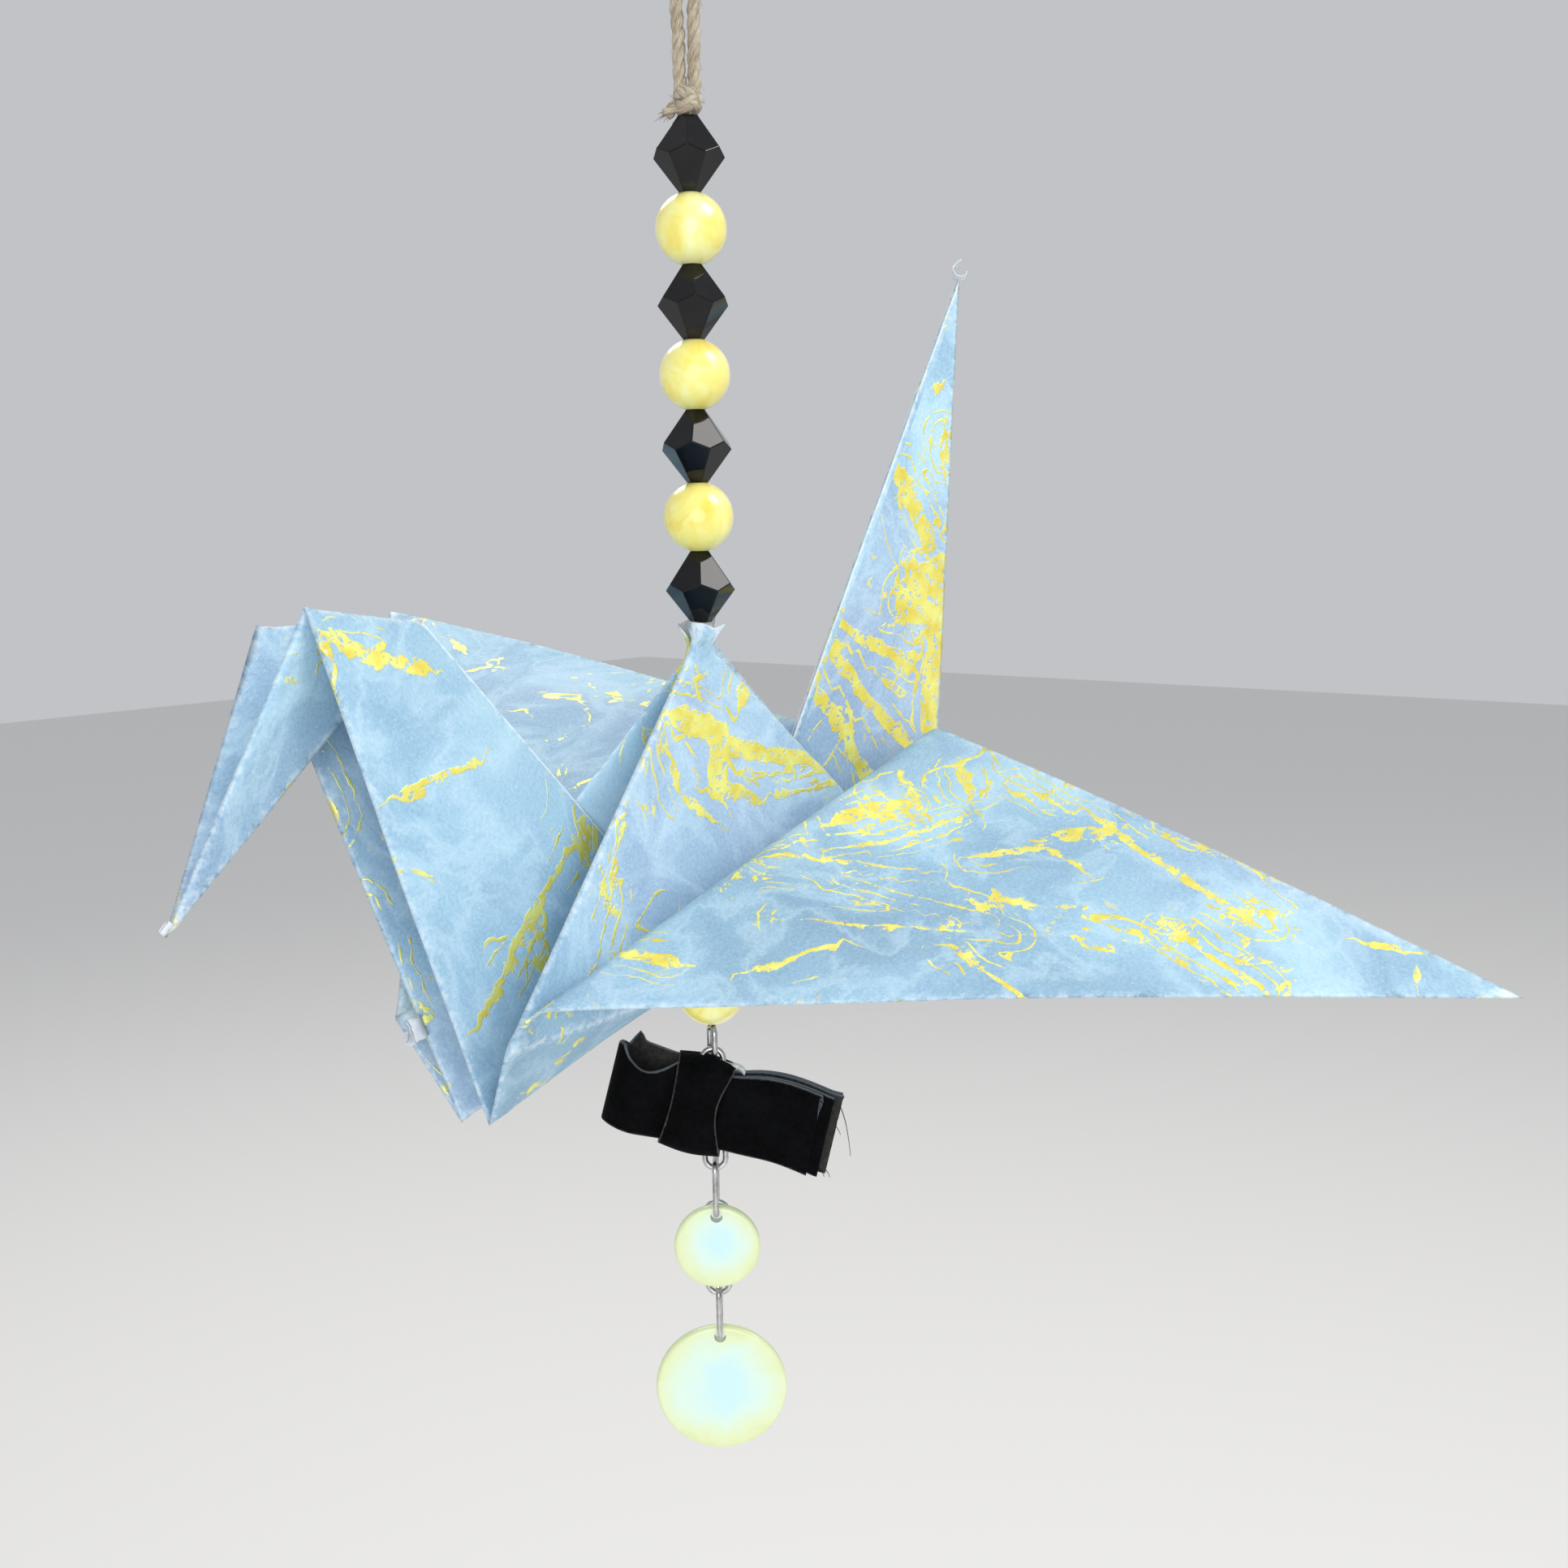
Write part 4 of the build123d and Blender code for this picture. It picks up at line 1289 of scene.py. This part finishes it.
# How much it swells between its edges, and wrinkles
band_swell = 0.16
band_wrinkle = 0.09
band_swell_out = 1.6
band_rim_share = 0.97
band_swell_up = 0.07
band_sheen_reach = 0.45


def band(mesh):
    """The ribbon's band round the layers, slanted and narrower at its upper right."""
    outline = []
    for cy, ch, first in ((-1, 1, 90), (-1, -1, 180), (1, -1, 270), (1, 1, 0)):
        for k in range(7):
            turn = math.radians(first + 15 * k)
            y = cy * (band_half_depth - band_corner) + band_corner * math.cos(turn)
            outline.append((y, ch * (band_half_height - band_corner) + band_corner * math.sin(turn), 0))
    ring, _ = even_line(np.array([*outline, outline[0]]), band_step)
    for y, h, _ in ring[:-1]:
        height = h / band_half_height
        left = -band_half + band_left_wave * math.cos(2.2 * height) - band_left_out
        right = band_half - band_right_in - band_slant * height + band_flare * height**2
        right -= band_right_wave * math.cos(3.0 * height)
        for c in range(band_columns + 1):
            share = c / band_columns
            swell = math.sin(math.pi * share)
            a = left + (right - left) * share
            pinch = band_swell * swell + band_wrinkle * noise.noise(Vector((a * 0.5, y, h * 0.3)))
            grow = 1 + band_swell_out * pinch / band_half_depth
            mesh.vertices.append(ribbon_point(a, y * grow, h * (band_rim_share + band_swell_up * swell)))
            # How close to the band's edges the painted sheen lies
            mesh.edge_sheen.append(bell(min(share, 1 - share) * (right - left), band_sheen_reach))
    mesh.quads(len(ring) - 1, band_columns + 1, closed=True)
    return 2 * (band_half_depth + band_half_height) * 2


# How much the tails narrow beside the band, and where and how much they arch and droop
tail_pull = 0.35
tail_pull_reach = 2.5
tail_arch = 0.6
tail_arch_start = 3.5
tail_arch_span = 12
tail_droop = 0.2
tail_droop_start = 10
tail_droop_span = 6


def tail_height(p):
    """The tails narrow toward the band and sag to their ends."""
    half = ribbon_width / 2
    pull = tail_pull * bell(p[0] - band_half, tail_pull_reach)
    arch = tail_arch * math.sin(math.pi * min(1, max(0, p[0] - tail_arch_start) / tail_arch_span))
    sag = arch - tail_droop * max(0, p[0] - tail_droop_start) / tail_droop_span
    return -half + pull + sag, half - pull + sag


# The loop's length, the dip of its front rim, and the lifts of its back rim and its lower edge
loop_reach = 7
loop_dip = 1.9
loop_dip_turn = 1.05
loop_back_lift = 0.25
loop_low_lift = 0.9
# Bumps of the loop's upper rim: height, place and reach
front_corner = (0.85, -10.4, 0.45)
back_corner = (1.15, -8.8, 0.55)
back_notch = (-0.7, -9.9, 0.4)


def rim_bump(x, size, place, reach):
    return size * bell(x - place, reach)


def long_height(p):
    """As the tails, and past the band the loop, with a front rim that dips and corners that stick up."""
    low, high = tail_height(p)
    if p[0] > -band_half:
        return low, high
    out = min(1.0, (-band_half - p[0]) / loop_reach)
    if p[1] < 0:
        dip = -loop_dip * math.sin(math.pi * min(1, out * loop_dip_turn))
        high += dip + rim_bump(p[0], *front_corner)
    else:
        high += loop_back_lift + rim_bump(p[0], *back_corner) + rim_bump(p[0], *back_notch)
    return low + loop_low_lift * out**2, high


def satin_scrap():
    """A strip of satin that shows at the band's upper right."""
    scrap = Mesh()
    for n in range(satin_steps):
        share = n / (satin_steps - 1)
        height = satin_top - satin_fall * share - satin_wave * math.sin(math.pi * 2 * share)
        for r in (-1, 0, 1):
            away = satin_cup * r * r - satin_front - satin_forward * share
            reach = satin_start + satin_length * share
            scrap.vertices.append(ribbon_point(reach, away, height + r * satin_half_width))
    scrap.quads(satin_steps, 3)
    made = scrap.finish("satin_scrap")
    made.data.materials.append(pearl_satin())
    thicken(made, satin_thickness)
    return made


def ribbon():
    mesh = Mesh()
    gap, layer = ribbon_gap, ribbon_layer
    long_route = [
        (17.0, gap + 0.1), (10.0, gap), (2.0, gap), (-3.4, gap),
        (-5.6, 1.5), (-8.0, 2.5), (-10.2, 2.1), (-10.9, 0.0), (-10.6, -2.1), (-8.0, -2.7), (-5.6, -1.5),
        (-3.4, -gap), (2.0, -gap), (10.0, -gap), (15.9, -gap - 0.05),
    ]
    front_tail = [(2.4, -gap - 0.1), (6.0, -gap - 0.75 * layer), (14.5, -gap - layer - 0.05)]
    back_tail = [(16.5, gap + layer + 0.05), (6.0, gap + 0.75 * layer), (2.4, gap + 0.1)]
    length = strip(mesh, long_route, long_height, (-0.2, -0.3))
    length += strip(mesh, front_tail, tail_height, (0.0, -0.5))
    length += strip(mesh, back_tail, tail_height, (0.2, 0.0))
    length += band(mesh)
    made = mesh.finish("velvet_bow")
    for material in velvet_materials():
        made.data.materials.append(material)
    solid = thicken(made, cloth_thickness)
    solid.offset = 0
    solid.material_offset = 1
    solid.material_offset_rim = 2
    satin = satin_scrap()
    random = np.random.default_rng(5)
    threads = Mesh()
    for reach, away, low, drop in thread_ends:
        start = ribbon_point(reach, away, low)
        sway = ribbon_along * random.uniform(0.3, 0.9)
        route = [start - ribbon_along * 0.5, start + sway * 0.6 - up * drop * 0.3, start + sway - up * drop]
        threads.hair(route, 8, (0.06, 0.03), 4, facing)
    loose = threads.finish("loose_threads")
    loose.data.materials.append(made.data.materials[0])
    for piece in (made, satin, loose):
        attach(piece, "hung_ribbon")
    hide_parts("velvet_ribbon")


def pearl_satin():
    material, place = object_material("white_satin")
    weave = noise_at(place, 1800.0, 3.0, 0.6)
    colour = ramp(weave, (0.35, (0.42, 0.43, 0.40)), (0.65, (0.72, 0.73, 0.69)))
    return finished(material, colour, (weave, 0.3, 0.1), {"Roughness": 0.45})


# Black beads: two six-sided cones whose facets are turned half a facet to each other
bicone_height = 8.15
bicone_end = 2.4
facet_flat = 3.73
bead_edge = 0.10
bead_turns = (0.0, 7.0, -5.0, 3.0)
hole_sides = 24


def bead_corners(turn):
    """The corners of the convex solid that the planes of the facets and the two ends enclose."""
    half = bicone_height / 2
    end_flat = bicone_end / 2 * math.cos(math.pi / 6)
    slope = (facet_flat - end_flat) / half
    planes = [(vec(0, 0, 1), half), (vec(0, 0, -1), half)]
    for way, first in ((1, 30.0), (-1, 0.0)):
        for k in range(6):
            a = math.radians(-90 + first + 60 * k + turn) + face_angle
            normal = vec(math.cos(a), math.sin(a), way * slope)
            size = np.linalg.norm(normal)
            planes.append((normal / size, facet_flat / size))
    corners = set()
    for trio in itertools.combinations(planes, 3):
        normals = np.array([n for n, _ in trio])
        if abs(np.linalg.det(normals)) > 1e-6:
            point = np.linalg.solve(normals, [d for _, d in trio])
            if all(n.dot(point) <= d + 1e-6 for n, d in planes):
                corners.add(tuple(np.round(point, 5)))
    return sorted(corners)


def bead_solid(name, height, turn):
    """A faceted bead on the wire's line, with its edges softened and its hole sunk."""
    mesh = bmesh.new()
    for corner in bead_corners(turn):
        mesh.verts.new(corner)
    bmesh.ops.convex_hull(mesh, input=mesh.verts)
    bmesh.ops.dissolve_limit(mesh, angle_limit=math.radians(1), verts=mesh.verts, edges=mesh.edges)
    bmesh.ops.bevel(mesh, geom=mesh.edges[:], offset=bead_edge, segments=2, profile=0.5, affect="EDGES")
    # The hole, from one end face to the other
    rims = []
    level = [f for f in mesh.faces if abs(f.normal.z) > 0.999]
    for face in [f for f in level if abs(abs(f.calc_center_median().z) - bicone_height / 2) < 0.01]:
        z = face.calc_center_median().z
        turns = [2 * math.pi * k / hole_sides for k in range(hole_sides)]
        radius = thread_hole / 2
        ring = [mesh.verts.new((radius * math.cos(a), radius * math.sin(a), z)) for a in turns]
        rim = [mesh.edges.new(pair) for pair in zip(ring, ring[1:] + ring[:1])]
        border = list(face.edges)
        bmesh.ops.delete(mesh, geom=[face], context="FACES_ONLY")
        bmesh.ops.bridge_loops(mesh, edges=border + rim)
        rims += rim
    bmesh.ops.bridge_loops(mesh, edges=rims)
    bmesh.ops.recalc_face_normals(mesh, faces=mesh.faces)
    bmesh.ops.scale(mesh, vec=(MM, MM, MM), verts=mesh.verts)
    bmesh.ops.translate(mesh, vec=Vector((0, 0, height)) * MM, verts=mesh.verts)
    data = bpy.data.meshes.new(name)
    mesh.to_mesh(data)
    mesh.free()
    return linked(name, data)


def black_beads(material):
    for n, turn in enumerate(bead_turns, 1):
        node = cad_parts[f"black_bead_{n}"]
        heights = [(node.matrix_world @ Vector(c)).z / MM for c in node.bound_box]
        made = bead_solid(f"cut_bead_{n}", (min(heights) + max(heights)) / 2, turn)
        made.data.materials.append(material)
        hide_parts(f"black_bead_{n}")
        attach(made, "crane_string")


# Camera, floor and light
floor_half = 3.0
floor_level = -0.42
floor_colour = (0.8, 0.79, 0.77)
sky_colour = (0.86, 0.88, 0.92, 1)
sky_strength = 0.62
# Key from the upper right behind the camera, fill from the left, and a back light,
# each with its place, size, power and colour
lights = {
    "key": ((0.32, -0.54, 0.62), 0.5, 5.3, (1.0, 0.98, 0.95)),
    "fill": ((-0.6, -0.5, -0.02), 0.7, 3.6, (0.93, 0.96, 1.0)),
    "back": ((0.3, 0.6, 0.5), 0.5, 2.5, (1.0, 0.97, 0.92)),
}
light_aim = Vector((0, 0, -0.1))


def set_camera():
    azimuth, elevation, roll = (math.radians(a) for a in (view_azimuth, view_elevation, view_roll))
    level_share = math.cos(elevation)
    back = Vector((math.sin(azimuth) * level_share, -math.cos(azimuth) * level_share, math.sin(elevation)))
    level = Vector((math.cos(azimuth), math.sin(azimuth), 0))
    upright = back.cross(level)
    right = level * math.cos(roll) + upright * math.sin(roll)
    top = upright * math.cos(roll) - level * math.sin(roll)
    place = Vector(apex) - right * view_right - top * view_up + back * view_distance
    camera = linked("camera", bpy.data.cameras.new("camera"))
    camera.matrix_world = Matrix.Translation(place * MM) @ Matrix((right, top, back)).transposed().to_4x4()
    camera.data.sensor_width = sensor_width
    camera.data.lens = sensor_width * focal_px / image_px
    camera.data.clip_start = 0.01
    bpy.context.scene.camera = camera


def set_stage():
    corners = [(floor_half * x, floor_half * y, floor_level) for x, y in ((-1, -1), (1, -1), (1, 1), (-1, 1))]
    floor = make_object("floor", corners, [(0, 1, 2, 3)], False)
    material, tree = new_material("pale_floor")
    fill(tree.nodes["Principled BSDF"], {"Base Color": floor_colour, "Roughness": 0.7})
    floor.data.materials.append(material)
    world = bpy.data.worlds.new("studio")
    world.use_nodes = True
    sky = world.node_tree.nodes["Background"]
    sky.inputs["Color"].default_value = sky_colour
    sky.inputs["Strength"].default_value = sky_strength
    bpy.context.scene.world = world
    bpy.context.scene.view_settings.view_transform = "Standard"
    for name, (place, size, power, colour) in lights.items():
        light = bpy.data.lights.new(name, "AREA")
        light.shape = "DISK"
        light.size = size
        light.energy = power
        light.color = colour
        made = linked(name, light)
        made.location = place
        made.rotation_euler = (light_aim - Vector(place)).to_track_quat("-Z", "Y").to_euler()


set_camera()
set_stage()
paper_crane()
black_beads(glass_material())
jute = twine_material()
twine(jute)
knot(jute)
ribbon()
yellow = pearl_material("yellow_pearl", (0.88, 0.70, 0.10), (0.96, 0.86, 0.24), (0.98, 0.96, 0.45), 0.24)
dress(["yellow_bead_1", "yellow_bead_2", "yellow_bead_3", "lower_yellow_bead"], yellow)
for name in ("small_disc", "large_disc"):
    dress([name], disc_material(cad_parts[name]))
dress(["core_wire", "ribbon_link", "disc_link", "long_link", "drop_link"], wire_material())
